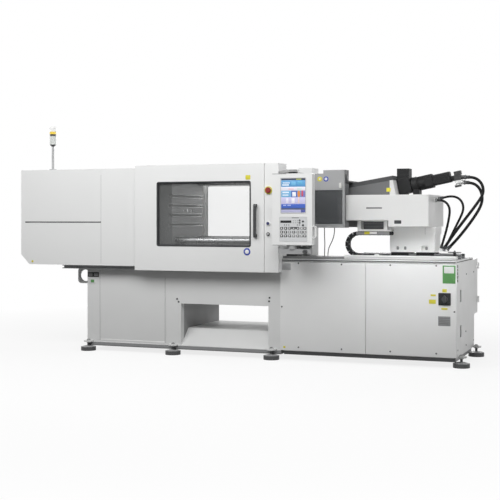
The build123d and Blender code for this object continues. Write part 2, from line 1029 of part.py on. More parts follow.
def injection_base():
    # Cabinet under the injection unit, with its plinth and grip pockets
    body = block((cabinet_left, cabinet_right), (cabinet_front, cabinet_rear), (cabinet_bottom, cabinet_top))
    wall = cabinet_wall
    body -= block(
        (cabinet_left + wall, cabinet_right - 2 * wall),
        (cabinet_front + wall, cabinet_rear - wall),
        (cabinet_bottom + wall, cabinet_top - wall),
    )
    plinth_x = (cabinet_left + plinth_inset, cabinet_right - plinth_inset)
    body += block(plinth_x, (plinth_front, plinth_rear), (base_bottom, cabinet_bottom + 1))
    for low, high in side_pockets:
        pocket_x = (cabinet_right - side_pocket_depth, cabinet_right + through)
        body -= block(pocket_x, (side_pocket_front, side_pocket_rear), (low, high))
    return body


def service_panels():
    # Two equal screwed-on front panels with rounded edges
    span = (cabinet_right - cabinet_left + panel_gap) / 2
    panels = []
    for index in range(2):
        left = cabinet_left + index * span
        x = (left, left + span - panel_gap)
        panel = block(x, (panel_face, cabinet_front), (cabinet_bottom, service_panel_top))
        front = panel.faces().sort_by(Axis.Y)[0]
        panel = fillet(front.edges(), service_panel_edge)
        if index == 1:
            frame_x = (switch_x - switch_half_width, switch_x + switch_half_width)
            frame_y = (panel_face - switch_frame_depth, panel_face + 1)
            frame_z = (switch_height - switch_half_height, switch_height + switch_half_height)
            panel += block(frame_x, frame_y, frame_z)
            bore_y = (frame_y[0] - through, cabinet_front - 4)
            panel -= bar_y(switch_x, bore_y, switch_height, switch_boss_radius + running_gap)
        panels.append(panel)
    return group(panels)


def main_switch():
    # Rotary grip of the main switch on its shaft
    face = panel_face - switch_frame_depth
    shaft = bar_y(switch_x, (face - 2, cabinet_front - 6), switch_height, switch_boss_radius)
    half = switch_knob_width / 2
    arm = switch_knob_length / 2
    grip_y = (face - sliding_gap - switch_knob_depth, face - sliding_gap)
    grip = block((switch_x - half, switch_x + half), grip_y, (switch_height - arm, switch_height + arm))
    grip = rounded(grip, Axis.Y, half * 0.9)
    base = bar_y(switch_x, (face - sliding_gap - 8, face - sliding_gap), switch_height, 26)
    return shaft + grip + base


def deck_plate():
    # Deck of the injection base, with its raised front bar, cable glands and chain anchor
    front = panel_face
    deck = block((cabinet_left, cabinet_right), (front, deck_rear), (cabinet_top, deck_top))
    end_edge = deck.edges().filter_by(Axis.Y).sort_by(Axis.X)[-2:]
    deck = fillet(end_edge, deck_edge)
    bar_x_limits = (edge_bar_left, cabinet_right)
    neck_y = (front + edge_bar_neck, front + edge_bar_thickness)
    deck += block(bar_x_limits, neck_y, (deck_top - 1, edge_bar_bottom + 1))
    deck += block(bar_x_limits, (front, front + edge_bar_thickness), (edge_bar_bottom, edge_bar_top))
    for points in (cable_points_a, cable_points_b):
        x, y, z = points[-1]
        deck += bar_z(x, y, (deck_top - 1, z), cable_radius + gland_wall)
    deck += bar_z(cap_x, cap_y, (deck_top - 1, deck_top + neck_low_height), neck_radius_low)
    return deck + chain_anchor()


def deck_cap():
    # Round cap on its neck, with a small knob on top
    outline = Plane.XZ * Polygon(
        (0, deck_top + neck_low_height),
        (cap_stem_radius, deck_top + neck_low_height),
        (cap_stem_radius, cap_height),
        (cap_radius, cap_height),
        (cap_radius, cap_height + cap_thickness),
        (cap_knob_radius, cap_height + cap_thickness),
        (cap_knob_radius * 0.8, cap_height + cap_thickness + cap_knob_height),
        (0, cap_height + cap_thickness + cap_knob_height),
        align=None,
    )
    return Pos(cap_x, cap_y, 0) * revolve(outline, Axis.Z, 360)


def rear_cabinet():
    # Electrical cabinet on the back of the injection base, open behind its door
    y = (cabinet_rear, box_rear)
    body = block((box_left, box_right), y, (box_bottom, box_top))
    inner_z = (box_bottom + box_frame, box_top - box_frame)
    inner_x = (box_door_left + box_frame, box_right - box_frame)
    body -= block(inner_x, (cabinet_rear + box_wall, box_rear + through), inner_z)
    blind_x = (box_left + box_wall, box_door_left)
    body -= block(blind_x, (cabinet_rear + box_wall, box_rear - box_wall), inner_z)
    for low in hinge_levels():
        # Lower knuckle of each hinge, on a leaf from the cabinet's side
        z = (low - hinge_length / 2, low - sliding_gap)
        body += bar_z(box_hinge_x + hinge_offset, box_hinge_y, z, hinge_radius)
        leaf_x = (box_right - 0.01, box_hinge_x + hinge_offset)
        body += block(leaf_x, (box_rear - 30, box_hinge_y - 2), z)
    return body


def hinge_levels():
    return (box_bottom + hinge_inset + hinge_length, box_top - hinge_inset)


def rear_cabinet_door():
    # Flanged door on two lift-off hinges, with its quarter-turn lock
    front = box_rear + sliding_gap
    x = (box_door_left, box_right - sliding_gap)
    door = block(x, (front, front + box_door_thickness), (box_bottom, box_top))
    door = fillet(door.edges().filter_by(Axis.Z).sort_by(Axis.X)[:2], 3)
    hinge_x = box_hinge_x + hinge_offset
    for low in hinge_levels():
        door += bar_z(hinge_x, box_hinge_y, (low, low + hinge_length / 2), hinge_radius)
        leaf_y = (box_hinge_y - 4, box_hinge_y)
        door += block((box_right - 1, hinge_x), leaf_y, (low, low + hinge_length / 2))
    return door


def guard_hood():
    # Sheet hood over the nozzle, open below and open to the platen, with a tall front compartment
    # that holds the doorway, a lower rear part and a roof over the tie bars' nuts
    y = guard_half_width
    t = guard_sheet
    inner_y = guard_half_width - guard_end_flange
    low = guard_bottom
    hood = block((guard_left, guard_right), (-y, -inner_y), (low, guard_step_top))
    hood += block((guard_step_x, guard_right), (-y, -inner_y), (low, guard_top))
    hood += block((guard_left, guard_right), (-y, y), (low, guard_rear_top))
    inside_x = (guard_left - through, guard_right - t)
    front_y = (-y + t, -inner_y - t)
    hood -= block(inside_x, front_y, (low - through, guard_step_top - t))
    hood -= block((guard_step_x + t, guard_right - t), front_y, (low - through, guard_top - t))
    hood -= block(inside_x, (-y + t, y - t), (low - through, guard_rear_top - t))
    portal_x = (guard_right - 2 * t, guard_right + through)
    hood -= block(portal_x, (-inner_y, inner_y), (low - through, guard_rear_top - 3 * t))
    portal_z = (guard_end_gap_bottom, guard_end_gap_top)
    portal_y = housing_half_width + (guard_half_width - t - housing_half_width) / 2
    hood -= block(portal_x, (-portal_y, portal_y), portal_z)
    doorway_x = (guard_door_left + guard_frame, guard_door_right - guard_frame_right)
    doorway_z = (guard_bottom + guard_frame, guard_step_top - guard_frame)
    hood -= block(doorway_x, (-y - through, -y + t + 1), doorway_z)
    roof_y = (5 - platen_half_width, guard_roof_rear)
    hood += block((platen_thickness, guard_left + 1), roof_y, (guard_top - t, guard_top))
    hood += block((guard_left, guard_left + t), roof_y, (guard_rear_top - t, guard_top))
    stop_z = (guard_bottom, guard_bottom + 20)
    stop_x = (cable_points_a[0][0] - 16, cable_points_b[0][0] + 16)
    hood += block(stop_x, (-y + t - 1, -y + t + guard_stop_depth), stop_z)
    hinge_y = -y - sliding_gap - guard_door_thickness
    for z in guard_hinge_levels():
        x = guard_door_left - hinge_offset
        hood += bar_z(x, hinge_y, (z - hinge_length / 2, z - sliding_gap), hinge_radius * 0.6)
        leaf = block((x - 18, x), (hinge_y - 2, -y + 1), (z - hinge_length / 2, z - sliding_gap))
        hood += leaf
    return hood


def guard_hinge_levels():
    return (guard_bottom + hinge_inset, guard_step_top - hinge_inset)


def guard_door():
    # Door of the guard: a frame round a window, a solid upper part and hinge knuckles
    y = (-guard_half_width - sliding_gap - guard_door_thickness, -guard_half_width - sliding_gap)
    z = (guard_bottom, guard_top)
    door = block((guard_door_left, guard_door_right), y, z)
    door = fillet(door.faces().sort_by(Axis.Y)[0].edges(), 3)
    step_z = (guard_step_top, guard_top + through)
    door -= block((guard_door_left - through, guard_step_x), (y[0] - through, y[1] + through), step_z)
    window_x = (guard_door_left + guard_frame, guard_window_right)
    window_z = (guard_bottom + guard_frame + 8, guard_window_top)
    door -= block(window_x, (y[0] - through, y[1] + through), window_z)
    rebate = 6
    seat = (y[0] + y[1]) / 2
    rebate_x = (window_x[0] - rebate, window_x[1] + rebate)
    door -= block(rebate_x, (seat, y[1] + through), (window_z[0] - rebate, window_z[1] + rebate))
    bore_y = (y[0] - through, y[1] + through)
    door -= bar_y(guard_latch_x, bore_y, guard_latch_height, guard_latch_radius + running_gap)
    for level in guard_hinge_levels():
        hinge_x = guard_door_left - hinge_offset
        knuckle_z = (level, level + hinge_length / 2)
        door += bar_z(hinge_x, y[0], knuckle_z, hinge_radius * 0.6)
        door += block((hinge_x, guard_door_left + 4), (y[0], y[0] + 4), knuckle_z)
    return door


def guard_window():
    y_back = -guard_half_width - sliding_gap
    seat = y_back - guard_door_thickness / 2
    rebate = 6 - sliding_gap
    x = (guard_door_left + guard_frame - rebate, guard_window_right + rebate)
    z = (guard_bottom + guard_frame + 8 - rebate, guard_window_top + rebate)
    return block(x, (seat, seat + guard_pane_thickness), z)


def guard_latch():
    # Turn latch, open as it stands: a quarter turn brings its tongue behind the hood's frame
    outer = -guard_half_width - sliding_gap - guard_door_thickness
    shaft_y = (outer - 4, -guard_half_width + guard_sheet + guard_latch_gap + 1)
    shaft = bar_y(guard_latch_x, shaft_y, guard_latch_height, guard_latch_radius)
    half = guard_latch_size / 2
    grip_y = (outer - sliding_gap - guard_latch_reach, outer - sliding_gap)
    half_width = guard_latch_width / 2
    grip = block((guard_latch_x - half_width, guard_latch_x + half_width), grip_y,
                 (guard_latch_height - half, guard_latch_height + half))
    grip = rounded(grip, Axis.Y, 8)
    tongue_front = -guard_half_width + guard_sheet + guard_latch_gap
    tongue_y = (tongue_front, tongue_front + guard_latch_tongue)
    tongue = block((guard_latch_x - guard_latch_radius, guard_latch_x + guard_latch_radius), tongue_y,
                   (guard_latch_height - guard_latch_radius, guard_latch_height + half))
    return shaft + grip + tongue


def swing_arm(z, boss_z):
    # Flat arm from the column's side to a bearing boss on the panel's pivot
    root = [(column_right, arm_root_front), (column_right, arm_root_rear)]
    tip_angle = atan2(pivot_y - (arm_root_front + arm_root_rear) / 2, pivot_x - column_right)
    normal = (-sin(tip_angle), cos(tip_angle))
    tip = [
        (pivot_x + normal[0] * arm_radius, pivot_y + normal[1] * arm_radius),
        (pivot_x - normal[0] * arm_radius, pivot_y - normal[1] * arm_radius),
    ]
    outline = Polygon(*root, *tip, align=None)
    arm = Pos(0, 0, z[0]) * extrude(outline, z[1] - z[0], dir=(0, 0, 1))
    arm += bar_z(pivot_x, pivot_y, boss_z, arm_radius)
    bore_z = (boss_z[0] - through, boss_z[1] + through)
    return arm - bar_z(pivot_x, pivot_y, bore_z, pin_radius + running_gap)


def panel_arms():
    # Upper and lower arm of the panel; the lower one carries a small terminal box
    upper_boss = (panel_top + arm_gap, panel_top + arm_gap + pin_length)
    upper = swing_arm((upper_boss[1] - arm_thickness, upper_boss[1]), upper_boss)
    lower_boss = (panel_bottom - arm_gap - pin_length, panel_bottom - arm_gap)
    lower = swing_arm((lower_boss[0], lower_boss[0] + arm_thickness), lower_boss)
    tray_z = (lower_boss[0] - tray_height, lower_boss[0] + 1)
    tray_y = (pivot_y - tray_depth / 2, pivot_y + tray_depth / 2)
    tray = rounded(block((tray_left, tray_right), tray_y, tray_z), Axis.Z, 6)
    tray -= bar_z(pivot_x, pivot_y, (tray_z[1] - 6, tray_z[1] + through), pin_radius + 1)
    knob_z = (tray_z[0] + tray_z[1]) / 2
    bore_y = (tray_y[0] - through, tray_y[0] + knob_depth)
    tray -= bar_y(knob_x, bore_y, knob_z, knob_shaft_radius + running_gap)
    return group([upper, lower + tray])


def panel_knob():
    # Clamping knob on the terminal box, with five finger lobes
    low = panel_bottom - arm_gap - pin_length
    z = low + (1 - tray_height) / 2
    face = pivot_y - tray_depth / 2
    knob = Cylinder(knob_radius, knob_depth)
    for index in range(5):
        knob -= Rot(0, 0, index * 72) * Pos(knob_radius + 5, 0, 0) * Cylinder(8, knob_depth + through)
    centre_y = face - sliding_gap - knob_depth / 2
    turned = Pos(knob_x, centre_y, z) * Rot(90, 0, 0) * knob
    return turned + bar_y(knob_x, (centre_y, face + knob_depth - 4), z, knob_shaft_radius)


def panel_housing():
    # Housing of the operator panel, with pockets for its screen and keypad, a grip and pivot pins
    x = (panel_left, panel_right)
    body = block(x, (panel_front, panel_back), (panel_bottom, panel_top))
    body = rounded(body, Axis.Y, panel_edge)
    body -= block((screen_left, screen_right), (panel_front - through, panel_front + screen_depth),
                  (screen_bottom, screen_top))
    body -= block((keypad_left, keypad_right), (panel_front - through, panel_front + keypad_depth),
                  (keypad_bottom, keypad_top))
    grip_y = (pivot_y - 18, pivot_y + 18)
    grip = block((panel_right - 1, panel_right + grip_reach), grip_y, (grip_bottom, grip_top))
    grip = fillet(grip.edges().filter_by(Axis.Y).sort_by(Axis.X)[-2:], 20)
    finger_x = (panel_right, panel_right + grip_reach - grip_bar)
    grip -= block(finger_x, (grip_y[0] - through, grip_y[1] + through),
                  (grip_bottom + grip_bar, grip_top - grip_bar))
    body += grip
    pin_reach = arm_gap + pin_length - 4
    body += bar_z(pivot_x, pivot_y, (panel_top - 2, panel_top + pin_reach), pin_radius)
    body += bar_z(pivot_x, pivot_y, (panel_bottom - pin_reach, panel_bottom + 2), pin_radius)
    return body


def panel_screen():
    x = (screen_left + sliding_gap, screen_right - sliding_gap)
    z = (screen_bottom + sliding_gap, screen_top - sliding_gap)
    return block(x, (panel_front + 1, panel_front + screen_depth), z)


def panel_keypad():
    x = (keypad_left + sliding_gap, keypad_right - sliding_gap)
    z = (keypad_bottom + sliding_gap, keypad_top - sliding_gap)
    return block(x, (panel_front, panel_front + keypad_depth), z)


def signal_tower():
    # Pole with a stack of lamps, turned as one outline
    outline = Plane.XZ * Polygon(
        (0, cover_top),
        (tower_foot_radius, cover_top),
        (tower_foot_radius, cover_top + tower_foot_height),
        (tower_pole_radius, cover_top + tower_foot_height),
        (tower_pole_radius, tower_lamp_bottom - 20),
        (tower_lamp_radius, tower_lamp_bottom),
        (tower_lamp_radius, tower_rings[0]),
        (tower_lamp_radius - 2, tower_rings[0]),
        (tower_lamp_radius - 2, tower_rings[1]),
        (tower_lamp_radius, tower_rings[1]),
        (tower_lamp_radius, tower_rings[2]),
        (tower_lamp_radius - 1, tower_rings[2]),
        (tower_lamp_radius - 1, tower_top - 14),
        (tower_lamp_radius - 14, tower_top),
        (0, tower_top),
        align=None,
    )
    return Pos(tower_x, tower_y, 0) * revolve(outline, Axis.Z, 360)


def track_section(grow):
    # Cross-section of a carriage rail: a head, a waist and a wide foot
    half = track_width / 2 + grow
    waist = half * 0.62 if grow == 0 else half
    return Polygon(
        (-half, -grow),
        (half, -grow),
        (half, track_height * 0.35),
        (waist, track_height * 0.5),
        (half, track_height * 0.72),
        (half, track_height + grow),
        (-half, track_height + grow),
        (-half, track_height * 0.72),
        (-waist, track_height * 0.5),
        (-half, track_height * 0.35),
        align=None,
    )


def carriage_rails():
    rails = []
    for side in (-1, 1):
        rail = extrude(Plane.YZ * track_section(0), rail_block_right - rail_block_left)
        rails.append(Pos(rail_block_left, side * track_half_gauge, deck_top) * rail)
    return group(rails)


def guide_block_stations():
    return (pedestal_left + 10, pedestal_right - 10 - block_length)


def guide_blocks():
    # Four bearing blocks that ride on the rails
    half = track_width / 2 + block_side
    blocks = []
    low = deck_top + track_height * 0.3
    for x in guide_block_stations():
        for side in (-1, 1):
            y = side * track_half_gauge
            shell = block((x, x + block_length), (y - half, y + half), (low, block_top))
            groove_y = (y - track_width / 2 - running_gap, y + track_width / 2 + running_gap)
            shell -= block((x - through, x + block_length + through), groove_y,
                           (low - through, track_top + running_gap))
            blocks.append(shell)
    return group(blocks)


def pedestal():
    # Cast pedestal of the injection unit, with bolt pockets at its foot and a shoulder at its end
    y = (-pedestal_half_width, pedestal_half_width)
    body = block((pedestal_left, pedestal_right), y, (block_top, pedestal_top))
    body = rounded(body, Axis.Z, 8)
    shoulder_y = (-shoulder_half_width, shoulder_half_width)
    body += block((shoulder_left, shoulder_right), shoulder_y, (shoulder_bottom, pedestal_top))
    plate_y = (-hose_plate_half_width, hose_plate_half_width)
    plate_z = (block_top, block_top + hose_plate_thickness)
    body += block((pedestal_right - 1, hose_plate_right), plate_y, plate_z)
    for points, radius in hose_routes:
        body += fitting(points[-2], points[-1], fitting_length, radius) & above_plate()
    for x in guide_block_stations():
        centre = x + block_length / 2
        half = pocket_width / 2
        for side in (-1, 1):
            face = side * pedestal_half_width
            pocket_y = sorted((face + side * through, face - side * pocket_inset * 2))
            floor = block_top + pocket_inset
            cut = block((centre - half, centre + half), pocket_y, (floor, floor + pocket_height))
            cut = fillet(cut.edges().filter_by(Axis.Y).sort_by(Axis.Z)[-2:], 16)
            body -= cut
            for offset in (-0.25, 0.25):
                x_bolt = centre + offset * pocket_width
                y_bolt = face - side * pocket_inset
                body += bar_z(x_bolt, y_bolt, (floor - 1, floor + pedestal_bolt_height), pedestal_bolt_radius)
    return body


def above_plate():
    # The space above the hose plate's underside
    x = (pedestal_right, hose_plate_right)
    y = (-hose_plate_half_width, hose_plate_half_width)
    return block(x, y, (block_top + 1, pedestal_top))


def injection_housing():
    # Housing of the injection cylinder, bored for the plunger's coupling
    y = (-housing_half_width, housing_half_width)
    body = block((housing_left, housing_right), y, (housing_bottom, housing_top))
    body = rounded(body, Axis.X, housing_edge)
    bore_x = (housing_left - through, coupling_bore_end)
    body -= bar_x(bore_x, 0, axis_height, coupling_radius + running_gap)
    for points in (hose_points_c, hose_points_d):
        length = points[0][0] - housing_right + 3
        body += fitting(points[1], points[0], length, thin_hose_radius)
    return body


def barrel_cover():
    # Sheet cover round the barrel, with a slot above for the inclined barrel and the chain carrier
    y = housing_half_width
    t = barrel_cover_wall
    x = (barrel_cover_left, housing_left)
    cover = block(x, (-y, y), (barrel_cover_bottom, housing_top))
    cover = rounded(cover, Axis.X, housing_edge)
    inside_z = (barrel_cover_bottom + t, housing_top - t)
    cover -= block((x[0] - through, x[1] + through), (t - y, y - t), inside_z)
    slot_right = feed_x + (housing_top + screw_barrel_radius + 12 - feed_height) / tan(radians(tilt))
    slot_y = (-barrel_slot_half_width, barrel_slot_half_width)
    cover -= block((x[0] - through, slot_right), slot_y, (housing_top - 2 * t, housing_top + through))
    recess_z = (recess_height - recess_size / 2, recess_height + recess_size / 2)
    cover -= block((recess_left, recess_right), (-y - through, recess_depth - y), recess_z)
    carrier_z = (carrier_bottom, barrel_cover_bottom + 1)
    carrier_y = (carrier_front, carrier_rear)
    carrier = block((carrier_left, carrier_right), carrier_y, carrier_z)
    hollow_x = (carrier_left + carrier_leg, carrier_right - carrier_leg)
    carrier -= block(hollow_x, (carrier_front - through, carrier_rear - carrier_sheet),
                     (carrier_bottom + carrier_sheet, barrel_cover_bottom))
    shoe_x = (carrier_left, upper_end_x() + 6)
    carrier += block(shoe_x, carrier_y, (upper_chain_z() + link_height / 2, carrier_bottom + 1))
    return cover + carrier


def injection_barrel():
    # Barrel with its nozzle and the head where the inclined barrel joins it
    z = axis_height
    joint_x = head_right - 30
    joint_z = incline_height(joint_x)
    lean = tan(radians(tilt))
    reach = screw_barrel_radius + 14
    head = side_profile(
        [
            (head_left + 40, head_bottom),
            (head_right, head_bottom),
            (head_right, joint_z - reach - 2),
            (joint_x + reach * lean, joint_z - reach),
            (joint_x - reach * lean, joint_z + reach),
            (head_left + 70, 2 * z - head_bottom),
            (head_left + 40, 2 * z - head_bottom),
        ],
        head_half_width,
    )
    body = spun_x(
        [
            (nozzle_tip, 0),
            (nozzle_tip, nozzle_tip_radius),
            (nozzle_body_left, nozzle_radius),
            (head_left, nozzle_radius),
            (head_left, barrel_radius),
            (housing_left, barrel_radius),
            (housing_left, 0),
        ],
        z,
    )
    barrel = body + head
    bore = bar_x((plunger_bore_left, housing_left + through), 0, z, melt_radius + running_gap)
    return barrel - bore


def plunger():
    # Injection plunger with the coupling that joins it to the injection cylinder's rod
    return spun_x(
        [
            (plunger_left, 0),
            (plunger_left, melt_radius - 6),
            (plunger_left + 12, melt_radius),
            (coupling_left, melt_radius),
            (coupling_left, coupling_radius),
            (coupling_right, coupling_radius),
            (coupling_right, 0),
        ],
        axis_height,
    )


def slant_distance(x):
    # Distance along the inclined axis from the feed opening to a station along the machine
    return (x - feed_x) / cos(radians(tilt))


def screw_barrel():
    # Inclined barrel with its heater bands
    start = slant_distance(head_right - 30)
    outline = [(start, screw_radius + running_gap), (start, screw_barrel_radius - 4)]
    band = 90
    count = int((slant_cover_start() - start - 20) // band)
    for index in range(max(count, 1)):
        left = start + 12 + index * band
        outline += [
            (left, screw_barrel_radius - 4),
            (left, screw_barrel_radius),
            (left + band - 24, screw_barrel_radius),
            (left + band - 24, screw_barrel_radius - 4),
        ]
    outline += [(feed_start, screw_barrel_radius - 4), (feed_start, screw_radius + running_gap)]
    profile = Plane.XZ * Polygon(*outline, align=None)
    return incline(revolve(profile, Axis.X, 360))


def slant_cover_start():
    return slant_distance(slant_cover_left)


def screw():
    # Plasticising screw: a core with a row of flights and the drive shank that the gearbox turns
    left = screw_start
    core = bar_x((left, gearbox_end - 30), 0, 0, screw_core_radius)
    count = int((feed_end - 20 - left) // flight_pitch)
    profile = Polygon((0, screw_core_radius - 1), (flight_width, screw_core_radius - 1),
                      (flight_width, screw_radius), (0, screw_radius), align=None)
    flight = revolve(Plane.XZ * profile, Axis.X, 360)
    for index in range(count):
        core += Pos(left + 12 + index * flight_pitch, 0, 0) * flight
    return incline(core)


def shoulder_edges(shape):
    # The two long edges beside the sloping top
    return [edge for edge in shape.edges()
            if edge.bounding_box().size.Y < 1 and edge.bounding_box().size.X > 200
            and edge.center().Z > (housing_top + slant_cover_left_top) / 2]


def slant_cover():
    # Folded cover over the inclined barrel, with chamfered shoulders and an end plate
    low = housing_top + sliding_gap
    slope = (slant_cover_right_top - slant_cover_left_top) / (slant_cover_right - slant_cover_left)
    end_shift = (slant_cover_right_top - low) * tan(radians(tilt))

    def outline(inset, bottom):
        drop = inset * hypot(1, slope)
        return [
            (slant_cover_left + inset, bottom),
            (slant_cover_right + end_shift - inset, bottom),
            (slant_cover_right - inset, slant_cover_right_top - drop),
            (slant_cover_left + inset, slant_cover_left_top - drop),
        ]

    wall = barrel_cover_wall
    body = side_profile(outline(0, low), slant_cover_half_width)
    body = chamfer(shoulder_edges(body), slant_cover_chamfer)
    hollow = side_profile(outline(wall, low - through), slant_cover_half_width - wall)
    body -= chamfer(shoulder_edges(hollow), slant_cover_chamfer)
    mouth_y = (-barrel_slot_half_width, barrel_slot_half_width)
    mouth_z = (low - through, slant_cover_left_top - 30)
    body -= block((slant_cover_left - through, slant_cover_left + 2 * wall), mouth_y, mouth_z)
    start = slant_distance(slant_cover_right) - 10
    hole = bar_x((start - 60, start + 60), 0, 0, screw_barrel_radius + 2)
    return body - incline(hole)


def feed_block():
    # Feed block with its end flange, the hopper throat on top and the stand under it
    y = (-feed_half_width, feed_half_width)
    body = rounded(block((feed_start, feed_end), y, (feed_low, feed_high)), Axis.X, 10)
    body = incline(body)
    centre = feed_x + throat_shift
    throat_x = (centre - throat_half_length, centre + throat_half_length)
    throat_y = (-throat_half_width, throat_half_width)
    foot = incline_height(centre) + feed_high * 0.6
    body += block(throat_x, throat_y, (foot, throat_top))
    low = incline_height(centre) + feed_low * 0.8
    body += block((centre - throat_half_length / 2, centre + throat_half_length / 2), y, (housing_top, low))
    body -= incline(bar_x((feed_start - through, feed_end + through), 0, 0, screw_radius + running_gap))
    bore = throat_bore
    body -= block((centre - bore, centre + bore), (-bore, bore), (feed_height, throat_top + through))
    offset = hopper_bolt_spacing / 2
    for dx in (-offset, offset):
        for dy in (-offset, offset):
            body -= bar_z(centre + dx, dy, (throat_top - 25, throat_top + through), hopper_bolt_radius)
    return body


def gearbox():
    # Bearing housing, neck and square flange of the screw drive, on a stand over the housing
    start = feed_end
    taper = Plane.XZ * Polygon(
        (start, screw_core_radius + running_gap),
        (start, gearbox_radius - 6),
        (start + 10, gearbox_radius),
        (gearbox_end - 16, gearbox_radius),
        (gearbox_end, neck_radius),
        (neck_end, neck_radius),
        (neck_end, 0),
        (gearbox_end - 25, 0),
        (gearbox_end - 25, screw_core_radius + running_gap),
        align=None,
    )
    body = revolve(taper, Axis.X, 360)
    half = flange_half
    flange = block((neck_end, flange_end), (-half, half), (-half, half))
    body += chamfer(flange.edges().filter_by(Axis.X), flange_corner)
    rib = block((gearbox_end - 30, neck_end + 4), (-8, 8), (neck_radius - 10, gearbox_radius - 6))
    body += rib + mirror(rib, about=Plane.XY)
    body = incline(body)
    stand_x = (stand_left, stand_right)
    stand_y = (-stand_half_width, stand_half_width)
    return body + block(stand_x, stand_y, (housing_top, incline_height(stand_left) - gearbox_radius * 0.6))


def drive_motor():
    # Motor of the screw drive: a fluted body between two caps
    length = motor_end - flange_end
    square = RectangleRounded(2 * motor_radius, 2 * motor_radius, 16)
    body = Pos(flange_end, 0, 0) * extrude(Plane.YZ * square, length)
    groove_x = (flange_end + motor_cap, motor_end - motor_cap)
    for side in (-1, 1):
        for offset in (-22, 0, 22):
            body -= block(groove_x, sorted((side * (motor_radius - 3), side * (motor_radius + 2))),
                          (offset - 4, offset + 4))
            body -= block(groove_x, (offset - 4, offset + 4),
                          sorted((side * (motor_radius - 3), side * (motor_radius + 2))))
    adapter_height = (manifold_low + manifold_high) / 2 + 20
    body += bar_x((motor_end - 1, manifold_start), 0, adapter_height, adapter_radius)
    return incline(body)


def manifold():
    # Valve block at the motor's end, with a cap on top, a drain below and the hose fittings
    w = manifold_half_width
    body = block((manifold_start, manifold_end), (-w, w), (manifold_low, manifold_high))
    body = chamfer(body.edges().filter_by(Axis.X), 6)
    cap_z = (manifold_high - 1, manifold_high + 34)
    body += block((manifold_start + 4, manifold_end + 8), (8 - w, w - 8), cap_z)
    drain_z = (manifold_low - 24, manifold_low + 1)
    body += block((manifold_start - 10, manifold_end - 16), (12 - w, w - 12), drain_z)
    body = incline(body)
    for points in (hose_points_a, hose_points_b):
        body += fitting(points[1], points[0], fitting_length, hose_radius)
    return body


def fitting(inner, end, length, tube_radius):
    # A round fitting that carries on from a hose's end face, along its last run
    direction = Vector(*end) - Vector(*inner)
    plane = Plane(origin=end, z_dir=direction)
    return plane * Pos(0, 0, length / 2) * Cylinder(tube_radius + fitting_wall, length)


def upper_chain_z():
    return lower_chain_z() + 2 * bend_radius


def lower_chain_z():
    return deck_top + chain_lift + link_height / 2


def upper_end_x():
    return chain_bend_x + upper_links * link_pitch


def chain_link():
    # One link about its first pin: inner plates at that pin, outer plates at the next one
    radius = link_height / 2
    middle = link_pitch / 2

    def half_plate(pin_x, y, solid_x):
        disc = bar_y(pin_x, y, 0, radius)
        return disc + block(solid_x, y, (-radius, radius))

    inner = (link_inner_half, link_inner_half + link_sheet)
    outer = (inner[1] + link_gap, inner[1] + link_gap + link_sheet)
    link = None
    for side in (-1, 1):
        inner_y = sorted((side * inner[0], side * inner[1]))
        outer_y = sorted((side * outer[0], side * outer[1]))
        joint_y = sorted((side * inner[0], side * outer[1]))
        plates = half_plate(0, inner_y, (0, middle + link_overlap))
        plates += half_plate(link_pitch, outer_y, (middle - link_overlap, link_pitch))
        plates += block((middle - link_overlap, middle + link_overlap), joint_y, (-radius, radius))
        link = plates if link is None else link + plates
    half = crossbar_width / 2
    for z in ((radius - crossbar_thickness, radius), (-radius, crossbar_thickness - radius)):
        link += block((middle - half, middle + half), (-link_inner_half, link_inner_half), z)
    return link


def energy_chain():
    # Links from the fixed end on the deck, round the bend and along to the moving end
    start_x = chain_bend_x + lower_links * link_pitch
    x = start_x
    z = lower_chain_z()
    heading = 180
    link = chain_link()
    links = []
    for index in range(lower_links + bend_links + upper_links):
        links.append(Pos(x, chain_y, z) * Rot(0, heading, 0) * link)
        x += link_pitch * cos(radians(heading))
        z -= link_pitch * sin(radians(heading))
        turning = lower_links - 1 <= index < lower_links + bend_links - 1
        if turning:
            heading += bend_step if index > lower_links - 1 else bend_step / 2
        elif index == lower_links + bend_links - 1:
            heading += bend_step / 2
    return group(links)


def chain_anchor():
    # Foot bracket of the chain's fixed end
    x = chain_bend_x + lower_links * link_pitch
    radius = link_height / 2
    z = (deck_top - 1, lower_chain_z() + radius * 0.6)
    foot = block((x + radius + 1, x + radius + 36), (chain_y - 30, chain_y + 30), z)
    edge = foot.edges().filter_by(Axis.Y).sort_by(Axis.Z)[-2:]
    return chamfer(edge, 8)


def arc_radii(points):
    # For each inner point, 0.45 of the shorter run beside it over the tangent of half the turn
    radii = []
    for before, here, after in zip(points, points[1:], points[2:]):
        first = Vector(*here) - Vector(*before)
        second = Vector(*after) - Vector(*here)
        turn = first.get_angle(second)
        radii.append(0.45 * min(first.length, second.length) / tan(radians(turn / 2)))
    return radii


def hose(points, radius):
    # A tube of straight runs joined by tangent arcs
    radii = arc_radii(points)
    print("arc radii", [round(value) for value in radii])
    path = FilletPolyline(*points, radius=radii)
    section = Plane(origin=path @ 0, z_dir=path % 0) * Circle(radius)
    tube = sweep(section, path=path)
    print("hose length", round(path.length), "mm")
    return tube


def route(start, end, shares):
    # Points between two ends: reach is a share of route_reach to the right of the start, side a
    # distance across from the start, and rise a share of the height between the ends
    height = start[2] - end[2]
    inner = [(start[0] + route_reach * reach, start[1] + side, end[2] + height * rise)
             for reach, side, rise in shares]
    return [start, *inner, end]


def port(beyond, y, height):
    # A hose's end past the valve block, with its height measured from the inclined axis
    distance = manifold_end + beyond
    x = feed_x + distance * cos(radians(tilt)) - height * sin(radians(tilt))
    return (x, y, feed_height + distance * sin(radians(tilt)) + height * cos(radians(tilt)))


def housing_port(beyond, y, drop):
    # A hose's end past the injection housing, measured down from the housing's top
    return (housing_right + beyond, y, housing_top - drop)


